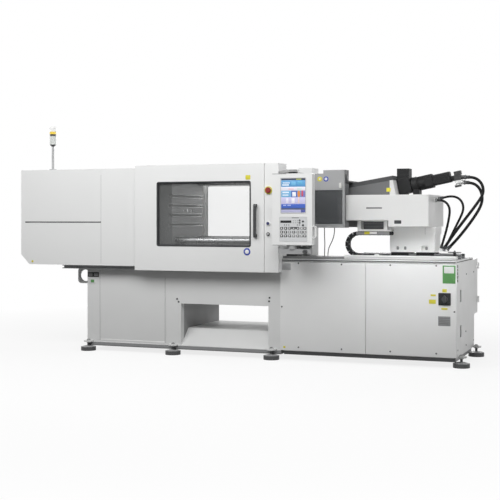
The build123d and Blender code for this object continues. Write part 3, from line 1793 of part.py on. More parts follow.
def plate_port(inset, y, rise):
    # A hose's end over the hose plate, measured in from the plate's end
    return (hose_plate_right - inset, y, block_top + hose_plate_thickness + rise)


hose_points_a = route(port(*hose_a_port), plate_port(*hose_a_end), (
    (0.406, 0, 1.0), (0.769, -3, 0.952), (0.981, -7, 0.869), (0.994, -11, 0.77),
    (0.794, -15, 0.684), (0.319, -20, 0.528), (-0.444, -25, 0.29), (-0.969, -28, 0.113),
))
hose_points_b = route(port(*hose_b_port), plate_port(*hose_b_end), (
    (0.387, 0, 0.994), (0.725, -2, 0.942), (0.925, -5, 0.851), (0.987, -9, 0.741),
    (0.875, -13, 0.631), (0.562, -18, 0.492), (0.037, -23, 0.301), (-0.575, -28, 0.107),
))
hose_points_c = route(housing_port(*hose_c_port), plate_port(*hose_c_end), (
    (0.375, 0, 1.034), (0.738, -1, 1.047), (1.081, -3, 1.017), (1.325, -6, 0.932),
    (1.413, -9, 0.812), (1.325, -12, 0.688), (1.05, -16, 0.496), (0.613, -22, 0.188),
))
hose_points_d = route(housing_port(*hose_d_port), plate_port(*hose_d_end), (
    (0.269, -1, 1.0), (0.519, -4, 0.958), (0.694, -7, 0.882), (0.762, -10, 0.787),
    (0.725, -12, 0.644), (0.588, -13, 0.404), (0.388, -14, 0.16),
))
hose_routes = (
    (hose_points_a, hose_radius),
    (hose_points_b, hose_radius),
    (hose_points_c, thin_hose_radius),
    (hose_points_d, thin_hose_radius),
)
cable_points_a = route((guard_cable_x[0], guard_cable_y, guard_bottom), (gland_x[0], guard_cable_y - 1, deck_top + gland_height), (
    (0.0, 0, 0.741), (0.031, -2, 0.467), (0.0125, -1, 0.207),
))
cable_points_b = route((guard_cable_x[1], guard_cable_y, guard_bottom), (gland_x[1], guard_cable_y - 1, deck_top + gland_height), (
    (0.0, 0, 0.77), (-0.163, -2, 0.504), (-0.4, -1, 0.252),
))

rear = Plane.XZ
pieces = {
    "clamp_base": clamp_base(),
    "levelling_feet": levelling_feet(),
    "clamp_cover": clamp_cover(),
    "door_guides": door_guides(),
    "front_door": safety_door(),
    "front_window": safety_window(),
    "front_handle": door_handle(),
    "rear_door": mirror(safety_door() + door_handle(), about=rear),
    "rear_window": mirror(safety_window(), about=rear),
    "operator_column": operator_column(),
    "rear_post": rear_post(),
    "estop_head": estop_head(),
    "push_button": push_button(),
    "key": key(),
    "fixed_platen": fixed_platen(),
    "moving_platen": moving_platen(),
    "ejector": ejector(),
    "clamp_ram": clamp_ram(),
    "rear_platen": rear_platen(),
    "clamp_cylinder": clamp_cylinder(),
    "tie_bars": tie_bars(),
    "tie_bar_nuts": tie_bar_nuts(),
    "injection_base": injection_base(),
    "service_panels": service_panels(),
    "main_switch": main_switch(),
    "deck_plate": deck_plate(),
    "deck_cap": deck_cap(),
    "rear_cabinet": rear_cabinet(),
    "rear_cabinet_door": rear_cabinet_door(),
    "guard_hood": guard_hood(),
    "guard_door": guard_door(),
    "guard_window": guard_window(),
    "guard_latch": guard_latch(),
    "panel_arms": panel_arms(),
    "panel_knob": panel_knob(),
    "panel_housing": panel_housing(),
    "panel_screen": panel_screen(),
    "panel_keypad": panel_keypad(),
    "signal_tower": signal_tower(),
    "carriage_rails": carriage_rails(),
    "guide_blocks": guide_blocks(),
    "pedestal": pedestal(),
    "injection_housing": injection_housing(),
    "barrel_cover": barrel_cover(),
    "injection_barrel": injection_barrel(),
    "plunger": plunger(),
    "screw_barrel": screw_barrel(),
    "screw": screw(),
    "slant_cover": slant_cover(),
    "feed_block": feed_block(),
    "gearbox": gearbox(),
    "drive_motor": drive_motor(),
    "manifold": manifold(),
    "energy_chain": energy_chain(),
    "hose_a": hose(hose_points_a, hose_radius),
    "hose_b": hose(hose_points_b, hose_radius),
    "hose_c": hose(hose_points_c, thin_hose_radius),
    "hose_d": hose(hose_points_d, thin_hose_radius),
    "guard_cable_a": hose(cable_points_a, cable_radius),
    "guard_cable_b": hose(cable_points_b, cable_radius),
}

to_origin = Location((-origin_x, -origin_y, 0))
print("origin", origin_x, origin_y, "nodes", len(pieces))
for name, piece in pieces.items():
    placed = [solid.moved(to_origin) for solid in piece.solids()]
    export_step(placed[0] if len(placed) == 1 else Compound(placed), f"parts/{name}.step")
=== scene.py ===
import json

import bpy
import numpy as np
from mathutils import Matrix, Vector


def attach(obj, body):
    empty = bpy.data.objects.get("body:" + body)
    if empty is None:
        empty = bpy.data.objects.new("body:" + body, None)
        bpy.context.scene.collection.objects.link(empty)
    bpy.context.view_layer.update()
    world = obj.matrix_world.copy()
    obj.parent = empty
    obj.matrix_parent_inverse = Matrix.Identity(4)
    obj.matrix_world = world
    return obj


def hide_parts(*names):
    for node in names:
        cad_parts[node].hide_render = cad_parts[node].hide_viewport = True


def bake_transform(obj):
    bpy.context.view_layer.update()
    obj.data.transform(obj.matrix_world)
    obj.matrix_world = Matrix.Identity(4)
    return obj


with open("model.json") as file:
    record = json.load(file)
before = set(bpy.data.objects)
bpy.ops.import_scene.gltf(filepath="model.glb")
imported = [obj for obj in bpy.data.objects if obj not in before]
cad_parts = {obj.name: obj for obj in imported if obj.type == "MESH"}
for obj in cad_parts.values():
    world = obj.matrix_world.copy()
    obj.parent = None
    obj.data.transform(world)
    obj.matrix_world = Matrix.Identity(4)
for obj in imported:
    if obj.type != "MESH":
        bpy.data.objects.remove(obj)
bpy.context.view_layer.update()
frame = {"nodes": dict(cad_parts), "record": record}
nodes = frame["nodes"]

# Places are in the design's millimetres: x from the fixed platen's face, y from the centre plane,
# z from the floor
designOffset = np.array([246.25, 79.5, 0.0])
millimetre = 0.001


def place(points):
    return (np.asarray(points, float) + designOffset) * millimetre


# Camera, at the photograph's angle
view = {"position": (3.79625, -9.7455, 1.32), "azimuth": 21.0, "lens": 75.6, "sensor": 36, "shiftY": -0.0612,
        "reach": 200}
camera = bpy.data.objects.new("camera", bpy.data.cameras.new("camera"))
bpy.context.scene.collection.objects.link(camera)
camera.location = view["position"]
camera.rotation_euler = (np.pi / 2, 0, np.radians(view["azimuth"]))
camera.data.sensor_width = view["sensor"]
camera.data.lens = view["lens"]
camera.data.shift_y = view["shiftY"]
camera.data.clip_end = view["reach"]
bpy.context.scene.camera = camera
print("camera placed")


# Node trees
def node(tree, kind, inputs=None, **settings):
    made = tree.nodes.new("ShaderNode" + kind)
    for key, value in settings.items():
        setattr(made, key, value)
    for key, value in (inputs or {}).items():
        if isinstance(value, bpy.types.NodeSocket):
            tree.links.new(value, made.inputs[key])
        else:
            made.inputs[key].default_value = value
    return made


def arithmetic(tree, operation, *values):
    return node(tree, "Math", dict(enumerate(values)), operation=operation).outputs[0]


def mixColours(tree, share, low, high):
    # The low colour where the share is 0 and the high one where it is 1, each a socket or three numbers
    ends = [end if isinstance(end, bpy.types.NodeSocket) else (*end, 1) for end in (low, high)]
    return node(tree, "Mix", {0: share, 6: ends[0], 7: ends[1]}, data_type="RGBA").outputs[2]


def onObject(tree):
    return node(tree, "TexCoord").outputs["Object"]


def noiseValue(tree, vector, scale, detail=2.0, roughness=0.5):
    inputs = {"Vector": vector, "Scale": scale, "Detail": detail, "Roughness": roughness}
    return node(tree, "TexNoise", inputs).outputs["Fac"]


def remap(tree, value, low, high, toLow, toHigh):
    return node(tree, "MapRange", {0: value, 1: low, 2: high, 3: toLow, 4: toHigh}).outputs[0]


def skinGroup(name, build):
    # A group from Color, Roughness and Amount to Color, Roughness and Height
    group = bpy.data.node_groups.new(name, "ShaderNodeTree")
    sockets = [("Color", "INPUT", "Color"), ("Roughness", "INPUT", "Float"), ("Amount", "INPUT", "Float"),
               ("Color", "OUTPUT", "Color"), ("Roughness", "OUTPUT", "Float"), ("Height", "OUTPUT", "Float")]
    for label, way, kind in sockets:
        group.interface.new_socket(label, in_out=way, socket_type="NodeSocket" + kind)
    source = group.nodes.new("NodeGroupInput")
    sink = group.nodes.new("NodeGroupOutput")
    for label, value in build(group, source, onObject(group)).items():
        group.links.new(value, sink.inputs[label])
    return group


noiseMiddle = (0.3, 0.7)  # where nearly all of a noise lies


def layered(group, source, tone, wear, wander, relief):
    # Colour scaled by 1 + Amount * (tone - 0.5) * 2, roughness moved by up to wander either way, and a relief
    centred = arithmetic(group, "ADD", tone, -0.5)
    scaled = arithmetic(group, "MULTIPLY", centred, source.outputs["Amount"])
    factor = arithmetic(group, "MULTIPLY_ADD", scaled, 2.0, 1.0)
    moved = remap(group, wear, *noiseMiddle, -wander, wander)
    return {
        "Color": node(group, "HueSaturation", {"Value": factor, "Color": source.outputs["Color"]}).outputs[0],
        "Roughness": arithmetic(group, "ADD", source.outputs["Roughness"], moved),
        "Height": relief,
    }


# Each skin has its noises in cells per metre, and how far its roughness wanders
# The enamel's painted shade runs from the floor up to the height given in metres: darker below, lighter above
enamel = {"cloud": 1.7, "cloudShare": 0.3, "paintedShadeTop": 1.1, "paintedFloorShade": 0.7, "peel": 260.0, "smear": 6.0,
          "wander": 0.07}


def buildEnamel(group, source, coordinates):
    # Broad cloudy tone, orange peel, and painted shade: darker towards the floor and lighter higher up
    cloud = noiseValue(group, coordinates, enamel["cloud"], 3.0)
    height = node(group, "SeparateXYZ", {0: coordinates}).outputs["Z"]
    paintedFloorShade = remap(group, height, 0.0, enamel["paintedShadeTop"], 0.0, enamel["paintedFloorShade"])
    tone = arithmetic(group, "MULTIPLY_ADD", cloud, enamel["cloudShare"], paintedFloorShade)
    peel = noiseValue(group, coordinates, enamel["peel"], 1.0)
    smear = noiseValue(group, coordinates, enamel["smear"], 4.0)
    return layered(group, source, tone, smear, enamel["wander"], peel)


ground = {"stretch": (6.0, 260.0, 260.0), "blotch": 11.0, "wander": 0.09}


def buildGround(group, source, coordinates):
    # Fine scratches drawn out along X, under faint blotches of oil
    stretched = node(group, "Mapping", {"Vector": coordinates, "Scale": ground["stretch"]}).outputs[0]
    scratch = noiseValue(group, stretched, 1.0, 3.0, 0.7)
    blotch = noiseValue(group, coordinates, ground["blotch"], 3.0)
    return layered(group, source, blotch, blotch, ground["wander"], scratch)


moulded = {"grain": 900.0, "patch": 14.0, "wander": 0.06}


def buildMoulded(group, source, coordinates):
    # Spark-eroded grain with a few duller patches
    grain = noiseValue(group, coordinates, moulded["grain"])
    patch = noiseValue(group, coordinates, moulded["patch"], 3.0)
    return layered(group, source, patch, patch, moulded["wander"], grain)


cast = {"pits": 70.0, "broad": 4.0, "wander": 0.08}


def buildCast(group, source, coordinates):
    # Sand-cast skin: pits of two sizes, painted over
    pits = noiseValue(group, coordinates, cast["pits"], 4.0, 0.6)
    broad = noiseValue(group, coordinates, cast["broad"], 3.0)
    return layered(group, source, broad, pits, cast["wander"], pits)


rubber = {"cloud": 22.0, "wrap": 420.0, "wander": 0.08}


def buildRubber(group, source, coordinates):
    # Dull rubber with talc-like cloudiness and a fine wrapped texture
    cloud = noiseValue(group, coordinates, rubber["cloud"], 4.0)
    wrap = noiseValue(group, coordinates, rubber["wrap"])
    return layered(group, source, cloud, cloud, rubber["wander"], wrap)


skins = {
    "enamel": skinGroup("enamelSkin", buildEnamel),
    "ground": skinGroup("groundSteel", buildGround),
    "moulded": skinGroup("mouldedPlastic", buildMoulded),
    "cast": skinGroup("castSkin", buildCast),
    "rubber": skinGroup("rubberSkin", buildRubber),
}


def startMaterial(name):
    material = bpy.data.materials.new(name)
    material.use_nodes = True
    material.node_tree.nodes.clear()
    return material, material.node_tree


def finishMaterial(tree, inputs):
    shader = node(tree, "BsdfPrincipled", inputs)
    output = node(tree, "OutputMaterial")
    tree.links.new(shader.outputs[0], output.inputs["Surface"])


def skinMaterial(name, skin, colour, roughness, amount, bump, grain=0.0004, metallic=0.0, specular=0.5,
                 build=None):
    # Principled shader fed by one of the skins, its colour plain or built from nodes; grain in metres
    material, tree = startMaterial(name)
    wrapped = node(tree, "Group", node_tree=skins[skin])
    wrapped.inputs["Roughness"].default_value = roughness
    wrapped.inputs["Amount"].default_value = amount
    if build:
        tree.links.new(build(tree), wrapped.inputs["Color"])
    else:
        wrapped.inputs["Color"].default_value = (*colour, 1)
    bumped = node(tree, "Bump", {"Strength": bump, "Distance": grain, "Height": wrapped.outputs["Height"]})
    finishMaterial(tree, {
        "Base Color": wrapped.outputs["Color"],
        "Roughness": wrapped.outputs["Roughness"],
        "Normal": bumped.outputs[0],
        "Metallic": metallic,
        "Specular IOR Level": specular,
    })
    material.diffuse_color = (*colour, 1)
    return material


# Masks and colours by place
def heightOf(tree):
    return node(tree, "SeparateXYZ", {0: onObject(tree)}).outputs["Z"]


def heightMask(tree, level):
    # 0 below a height above the floor, in metres, and 1 above it
    return arithmetic(tree, "GREATER_THAN", heightOf(tree), level)


lastStep = 0.1  # metres, the height of a ramp's last step


def heightRamp(levels):
    # Colours by height above the floor, in steps: (lowest height, colour)
    bottom = levels[0][0]
    span = levels[-1][0] + lastStep - bottom

    def build(tree):
        ramp = node(tree, "ValToRGB", {0: remap(tree, heightOf(tree), bottom, bottom + span, 0.0, 1.0)})
        ramp.color_ramp.interpolation = "CONSTANT"
        stops = ramp.color_ramp.elements
        stops[0].color = (*levels[0][1], 1)
        stops[1].position = (levels[1][0] - bottom) / span
        stops[1].color = (*levels[1][1], 1)
        for level, colour in levels[2:]:
            stops.new((level - bottom) / span).color = (*colour, 1)
        return ramp.outputs[0]
    return build


alongX = (1.0, 0.0, 0.0)
alongY = (0.0, 1.0, 0.0)


def beyond(tree, direction, level):
    # 1 on the far side of a plane that is square to the direction, in metres from the origin
    along = node(tree, "VectorMath", {0: onObject(tree), 1: direction}, operation="DOT_PRODUCT")
    return arithmetic(tree, "GREATER_THAN", along.outputs["Value"], level)


def between(tree, direction, low, high):
    # 1 between two such planes
    return arithmetic(tree, "SUBTRACT", beyond(tree, direction, low), beyond(tree, direction, high))


def meshTint(tree):
    # The colour that a mesh carries itself
    return node(tree, "Attribute", attribute_name="tint").outputs["Color"]


# Paints, in linear light
paint = {
    "light": (0.78, 0.785, 0.78),
    "base": (0.72, 0.725, 0.72),
    # The housing's paint is the light paint made darker: painted shade
    "housing": (0.66, 0.663, 0.657),
    "guard": (0.33, 0.333, 0.337),
    "slant": (0.135, 0.137, 0.14),
    "slantTopShade": (0.05, 0.051, 0.053),
    "deck": (0.14, 0.142, 0.145),
    "shadowLine": (0.09, 0.092, 0.095),
    "platen": (0.13, 0.132, 0.135),
    "dark": (0.075, 0.078, 0.082),
    "plinth": (0.155, 0.158, 0.163),
    "rail": (0.42, 0.423, 0.427),
    "kerb": (0.27, 0.273, 0.277),
}
# Steps in height of the pieces that have several colours, from the bottom up, in metres above the floor
towerLevels = [
    (1.824, (0.42, 0.425, 0.43)),
    (2.071, (0.05, 0.05, 0.055)),
    (2.091, (0.62, 0.64, 0.62)),
    (2.177, (0.05, 0.05, 0.05)),
    (2.198, (0.86, 0.62, 0.05)),
    (2.224, (0.84, 0.84, 0.83)),
]
footLevels = [
    (0.0, (0.060, 0.061, 0.063)),
    (0.0382, (0.30, 0.303, 0.306)),
    (0.049, (0.045, 0.046, 0.048)),
    (0.077, (0.42, 0.425, 0.42)),
    (0.109, (0.045, 0.046, 0.048)),
]
deckLevels = [
    (0.93, paint["shadowLine"]),
    (0.943, paint["light"]),
    (0.9535, paint["deck"]),
    (0.9575, paint["light"]),
    (0.974, paint["rail"]),
    (0.978, paint["light"]),
]
railLevels = [
    (0.8, paint["shadowLine"]),
    (0.834, paint["rail"]),
    (0.852, paint["shadowLine"]),
    (0.9, paint["light"]),
]
kerbLevels = [
    (0.0, paint["shadowLine"]),
    (0.056, paint["kerb"]),
    (0.086, paint["light"]),
]
plinthTop = 0.0925


def plinthColour(tree):
    return mixColours(tree, heightMask(tree, plinthTop), paint["plinth"], paint["light"])


# Clamp base: its kerb in steps, and painted shade on the tunnel's inner wall, a slab between two planes
tunnelWallShade = {"left": -0.516, "right": -0.510, "front": -0.33, "bottom": 0.088, "top": 0.499,
              "colour": (0.25, 0.252, 0.255)}


def clampBaseColour(tree):
    aboveKerb = heightMask(tree, tunnelWallShade["bottom"])
    tall = arithmetic(tree, "SUBTRACT", aboveKerb, heightMask(tree, tunnelWallShade["top"]))
    onWall = between(tree, alongX, tunnelWallShade["left"], tunnelWallShade["right"])
    inner = arithmetic(tree, "MULTIPLY", onWall, beyond(tree, alongY, tunnelWallShade["front"]))
    shaded = arithmetic(tree, "MULTIPLY", inner, tall)
    steps = mixColours(tree, aboveKerb, heightRamp(kerbLevels)(tree), paint["base"])
    return mixColours(tree, shaded, steps, tunnelWallShade["colour"])


# The slant cover's top band is painted darker, as painted shade: its top lies square to the incline, and its
# far end is a pale plate
slant = {"slope": np.radians(9.52), "topBand": 0.043, "endX": 1.499, "endColour": (0.62, 0.625, 0.62)}
slantUp = (-float(np.sin(slant["slope"])), 0.0, float(np.cos(slant["slope"])))
slantMesh = nodes["slant_cover"].data
slantPoints = np.empty(3 * len(slantMesh.vertices))
slantMesh.vertices.foreach_get("co", slantPoints)
slantHighest = float((slantPoints.reshape(-1, 3) @ slantUp).max())


def slantColour(tree):
    sideOrEnd = mixColours(tree, beyond(tree, alongX, slant["endX"]), paint["slant"], slant["endColour"])
    onTop = beyond(tree, slantUp, slantHighest - slant["topBand"])
    return mixColours(tree, onTop, sideOrEnd, paint["slantTopShade"])


# The purge guard's hood takes painted shade on its side towards the housing, a dark colour beyond a plane
hoodSideShade = {"x": 1.1272, "colour": (0.07, 0.071, 0.073)}


def hoodColour(tree):
    return mixColours(tree, beyond(tree, alongX, hoodSideShade["x"]), paint["guard"], hoodSideShade["colour"])


# The valve block is black with a pale middle, between two planes along the incline
valve = {"low": 1.268, "high": 1.312, "pale": (0.72, 0.725, 0.72), "black": (0.02, 0.0205, 0.021)}


def valveColour(tree):
    middle = between(tree, slantUp, valve["low"], valve["high"])
    return mixColours(tree, middle, valve["black"], valve["pale"])


# Finishes: name, skin, colour and roughness, how much the skin mottles it, and the bump's strength
materials = {
    "light_paint": skinMaterial("lightPaint", "enamel", paint["light"], 0.36, 0.07, 0.06),
    # panelPaint, plinthBase and clampBase take a larger Amount, so their cloudy tone and their painted shade
    # towards the floor are stronger
    "panelPaint": skinMaterial("panelPaint", "enamel", paint["light"], 0.38, 0.18, 0.06),
    # A darker copy of the light paint for the housing and barrel cover, as painted shade
    "housingShadedPaint": skinMaterial("housingShadedPaint", "enamel", paint["housing"], 0.36, 0.05, 0.06),
    "guard_paint": skinMaterial("guardPaint", "enamel", paint["guard"], 0.42, 0.05, 0.08),
    # A whiter copy of the light paint for the pedestal: painted light where the housing shades it
    "pedestalLitPaint": skinMaterial("pedestalLitPaint", "enamel", (0.90, 0.902, 0.895), 0.36, 0.04, 0.06),
    "plinthBase": skinMaterial("plinthAndPaint", "enamel", paint["light"], 0.38, 0.18, 0.07,
                               build=plinthColour),
    "clampBase": skinMaterial("clampBasePaint", "enamel", paint["base"], 0.40, 0.15, 0.07,
                              build=clampBaseColour),
    "railsAndHeader": skinMaterial("railsAndHeader", "enamel", paint["dark"], 0.42, 0.05, 0.07,
                                   build=heightRamp(railLevels)),
    "deckPaint": skinMaterial("deckPaint", "enamel", paint["deck"], 0.5, 0.06, 0.08, specular=0.25,
                              build=heightRamp(deckLevels)),
    "slantPaint": skinMaterial("slantPaint", "enamel", paint["slant"], 0.42, 0.05, 0.08, specular=0.3,
                               build=slantColour),
    "hoodPaint": skinMaterial("hoodPaint", "enamel", paint["guard"], 0.42, 0.05, 0.08, build=hoodColour),
    "platen_paint": skinMaterial("platenPaint", "cast", paint["platen"], 0.5, 0.06, 0.16, grain=0.0008,
                                 specular=0.25),
    "blackPaint": skinMaterial("blackPaint", "cast", (0.013, 0.0135, 0.014), 0.5, 0.25, 0.2, grain=0.0012,
                               specular=0.2),
    "valvePaint": skinMaterial("valvePaint", "cast", valve["black"], 0.4, 0.1, 0.12, grain=0.0006,
                               build=valveColour),
    "steel": skinMaterial("groundSteelBar", "ground", (0.56, 0.565, 0.57), 0.34, 0.08, 0.05, grain=0.0002,
                          metallic=1.0),
    "chromed_steel": skinMaterial("chromedSteel", "ground", (0.70, 0.71, 0.72), 0.16, 0.05, 0.03,
                                  grain=0.0001, metallic=1.0),
    "barSteel": skinMaterial("oiledBarSteel", "ground", (0.24, 0.243, 0.247), 0.3, 0.08, 0.04, grain=0.0002,
                             metallic=1.0),
    "zinc": skinMaterial("zincPlate", "ground", (0.60, 0.60, 0.58), 0.38, 0.1, 0.05, grain=0.0002,
                         metallic=1.0),
    "black_plastic": skinMaterial("blackPlastic", "moulded", (0.030, 0.031, 0.033), 0.42, 0.12, 0.12,
                                  grain=0.0003),
    "red_plastic": skinMaterial("redPlastic", "moulded", (0.24, 0.016, 0.013), 0.34, 0.08, 0.06,
                                grain=0.0002),
    "blue_plastic": skinMaterial("bluePlastic", "moulded", (0.03, 0.035, 0.12), 0.34, 0.08, 0.06,
                                 grain=0.0002),
    "keypad": skinMaterial("keypadFoil", "moulded", (0.66, 0.67, 0.68), 0.4, 0.04, 0.06, grain=0.0002),
    "screen": skinMaterial("screenGlass", "moulded", (0.16, 0.34, 0.62), 0.2, 0.04, 0.02, grain=0.0001),
    "lamp": skinMaterial("lampTower", "moulded", (0.8, 0.8, 0.8), 0.25, 0.05, 0.03, grain=0.0002,
                         build=heightRamp(towerLevels)),
    "tinted": skinMaterial("tintedTile", "moulded", (0.5, 0.5, 0.5), 0.45, 0.05, 0.05, grain=0.0002,
                           specular=0.2, build=meshTint),
    "hose_rubber": skinMaterial("hoseRubber", "rubber", (0.008, 0.008, 0.0085), 0.55, 0.25, 0.2,
                                specular=0.15),
    "cable": skinMaterial("cableSheath", "rubber", (0.01, 0.01, 0.011), 0.5, 0.2, 0.15, grain=0.0003,
                          specular=0.2),
    "feet": skinMaterial("footPads", "rubber", (0.05, 0.05, 0.05), 0.5, 0.12, 0.12,
                         build=heightRamp(footLevels)),
}

glass = {"smear": 3.0, "smearRange": (0.35, 0.7), "spread": 0.05, "ior": 1.49}


def glassMaterial(name, colour, alpha, roughness):
    # Clear sheet: mostly see-through, with smears that change its gloss
    material, tree = startMaterial(name)
    smear = noiseValue(tree, onObject(tree), glass["smear"], 4.0)
    finishMaterial(tree, {
        "Base Color": (*colour, 1),
        "Roughness": remap(tree, smear, *glass["smearRange"], roughness, roughness + glass["spread"]),
        "Alpha": alpha,
        "IOR": glass["ior"],
    })
    material.surface_render_method = "BLENDED"
    material.diffuse_color = (*colour, alpha)
    return material


materials["window"] = glassMaterial("windowPane", (0.75, 0.77, 0.76), 0.07, 0.03)
materials["guardPane"] = glassMaterial("guardPane", (0.10, 0.105, 0.11), 0.72, 0.08)

glow = {"rows": 180.0, "rowTone": 0.92, "strength": 0.12, "patch": 8.0, "roughness": (0.18, 0.26)}


def screenMaterial():
    # Lit display: a tinted mesh that glows with its own colours
    material, tree = startMaterial("displayGlow")
    coordinates = onObject(tree)
    rows = node(tree, "TexWave", {"Vector": coordinates, "Scale": glow["rows"]}, bands_direction="Z")
    faint = remap(tree, rows.outputs["Fac"], 0.0, 1.0, glow["rowTone"], 1.0)
    toned = node(tree, "HueSaturation", {"Value": faint, "Color": meshTint(tree)}).outputs[0]
    patch = noiseValue(tree, coordinates, glow["patch"])
    finishMaterial(tree, {
        "Base Color": toned,
        "Roughness": remap(tree, patch, *noiseMiddle, *glow["roughness"]),
        "Emission Color": toned,
        "Emission Strength": glow["strength"],
    })
    return material


materials["display"] = screenMaterial()

# Nodes that don't take the material of their slot
slotOf = {entry["node"]: entry["material_slot"] for entry in frame["record"]["subparts"]}
nodeMaterials = {
    "levelling_feet": "feet",
    "injection_base": "plinthBase",
    "clamp_base": "clampBase",
    "service_panels": "panelPaint",
    "injection_housing": "housingShadedPaint",
    "barrel_cover": "housingShadedPaint",
    "slant_cover": "slantPaint",
    "guard_window": "guardPane",
    "guard_hood": "hoodPaint",
    "carriage_rails": "barSteel",
    "push_button": "blue_plastic",
    "door_guides": "railsAndHeader",
    "feed_block": "blackPaint",
    "gearbox": "blackPaint",
    "drive_motor": "blackPaint",
    "guide_blocks": "blackPaint",
    "manifold": "valvePaint",
    "guard_latch": "zinc",
    "deck_plate": "deckPaint",
    "pedestal": "pedestalLitPaint",
    "tie_bars": "barSteel",
}
for name, piece in nodes.items():
    chosen = materials[nodeMaterials.get(name, slotOf[name])]
    piece.data.materials.clear()
    piece.data.materials.append(chosen)
print("materials made")


# Cords, along the routes of the hoses and cables
cordMesh = {"bevelSteps": 5, "lengthSteps": 12, "order": 3}


def layCord(name, points, radius, body, slot, replaced):
    # A round curve that runs near its control points and ends on the first and last
    curve = bpy.data.curves.new(name, "CURVE")
    curve.dimensions = "3D"
    curve.bevel_depth = radius * millimetre
    curve.bevel_resolution = cordMesh["bevelSteps"]
    curve.resolution_u = cordMesh["lengthSteps"]
    curve.use_fill_caps = True
    spline = curve.splines.new("NURBS")
    spline.points.add(len(points) - 1)
    placed = place(points)
    spline.points.foreach_set("co", np.hstack([placed, np.ones((len(placed), 1))]).ravel())
    spline.order_u = cordMesh["order"]
    spline.use_endpoint_u = True
    curve.materials.append(materials[slot])
    piece = bpy.data.objects.new(name, curve)
    bpy.context.scene.collection.objects.link(piece)
    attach(piece, body)
    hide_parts(replaced)


# Hoses: (node of the CAD, radius, length in metres, route)
hoses = {
    "hoseA": ("hose_a", 13.5, 0.889, [
        (1931, -16, 1712), (1996, -16, 1712), (2054, -19, 1680), (2088, -23, 1624), (2090, -27, 1558),
        (2058, -31, 1500), (1982, -36, 1396), (1860, -41, 1236), (1776, -44, 1118), (1728, -46, 1042)]),
    "hoseB": ("hose_b", 13.5, 0.817, [
        (1920, 18, 1664), (1982, 18, 1660), (2036, 16, 1628), (2068, 13, 1572), (2078, 9, 1504),
        (2060, 5, 1436), (2010, 0, 1350), (1926, -5, 1232), (1828, -10, 1112), (1762, -12, 1046)]),
    "hoseC": ("hose_c", 11, 0.705, [
        (1672, 56, 1516), (1732, 56, 1532), (1790, 55, 1538), (1845, 53, 1524), (1884, 50, 1484),
        (1898, 47, 1428), (1884, 44, 1370), (1840, 40, 1280), (1770, 34, 1136), (1726, 30, 1048)]),
    "hoseD": ("hose_d", 11, 0.538, [
        (1668, -56, 1500), (1711, -57, 1500), (1751, -60, 1481), (1779, -63, 1447), (1790, -66, 1404),
        (1784, -68, 1340), (1762, -69, 1232), (1730, -70, 1122), (1709, -71, 1050)]),
}
for name, (replaced, radius, length, points) in hoses.items():
    layCord(name, points, radius, "carriage", "hose_rubber", replaced)

cableRadius = 4
guardCables = {
    "guardCableA": ("guard_cable_a", 0.270, [
        (672, -378, 1242), (672, -378, 1172), (677, -380, 1098), (674, -379, 1028), (674, -379, 972)]),
    "guardCableB": ("guard_cable_b", 0.282, [
        (770, -378, 1242), (770, -378, 1180), (744, -380, 1108), (706, -379, 1040), (706, -379, 972)]),
}
for name, (replaced, length, points) in guardCables.items():
    layCord(name, points, cableRadius, "machine_base", "cable", replaced)
print("cords laid")


# Mesh pieces. Every face looks along its normal, with u to the right and v upwards.
faces = {
    "front": ((1, 0, 0), (0, 0, 1), (0, -1, 0)),
    "rear": ((-1, 0, 0), (0, 0, 1), (0, 1, 0)),
    "right": ((0, 1, 0), (0, 0, 1), (1, 0, 0)),
    "top": ((1, 0, 0), (0, 1, 0), (0, 0, 1)),
}


def outward(points, walls, caps):
    # Turns the shell so that its signed volume, the sum of a.(b x c) / 6, is positive
    fans = [walls[:, [0, 1, 2]], walls[:, [0, 2, 3]]]
    fans += [np.stack([np.full(len(cap) - 2, cap[0]), cap[1:-1], cap[2:]], axis=1) for cap in caps]
    fans = np.concatenate(fans)
    a, b, c = (points[fans[:, k]] - points.mean(axis=0) for k in range(3))
    if np.einsum("ij,ij->i", a, np.cross(b, c)).sum() < 0:
        walls = walls[:, ::-1]
        caps = [cap[::-1] for cap in caps]
    return points, walls.tolist() + [cap.tolist() for cap in caps]


def loft(rings, tint, looped=False):
    # A skin over rings of equal length: capped at both ends, or joined from the last ring to the first
    rings = np.asarray(rings, float)
    count, sides = rings.shape[:2]
    index = np.arange(count * sides).reshape(count, sides)
    rows = np.concatenate([index, index[:1]]) if looped else index
    shifted = np.roll(rows, -1, axis=1)
    walls = np.stack([rows[:-1], shifted[:-1], shifted[1:], rows[1:]], axis=-1).reshape(-1, 4)
    caps = [] if looped else [index[0][::-1], index[-1]]
    points, polygons = outward(rings.reshape(-1, 3), walls, caps)
    return points, polygons, tint


def circle(sides):
    # Unit vectors at equal angles: (cos, sin)
    angle = np.arange(sides) * 2 * np.pi / sides
    return np.stack([np.cos(angle), np.sin(angle)], axis=1)


def onFace(face, centre, flat, height):
    # The centre, plus each (u, v) of an outline along the face's axes, plus the height along its normal
    u, v, normal = (np.array(axis, float) for axis in faces[face])
    flat = np.asarray(flat, float)
    return np.asarray(centre, float) + flat[:, :1] * u + flat[:, 1:] * v + height * normal


def roundedOutline(width, height, radius, steps=5):
    # Four quarter arcs: each corner's centre plus radius * (cos, sin)
    radius = min(radius, width / 2 - 0.01, height / 2 - 0.01)
    angle = np.linspace(0, np.pi / 2, steps)
    arcs = []
    for quarter in range(4):
        turn = angle + quarter * np.pi / 2
        cornerX = (width / 2 - radius) * (1 if quarter in (0, 3) else -1)
        cornerY = (height / 2 - radius) * (1 if quarter in (0, 1) else -1)
        arcs.append(np.stack([cornerX + radius * np.cos(turn), cornerY + radius * np.sin(turn)], axis=1))
    return np.concatenate(arcs)


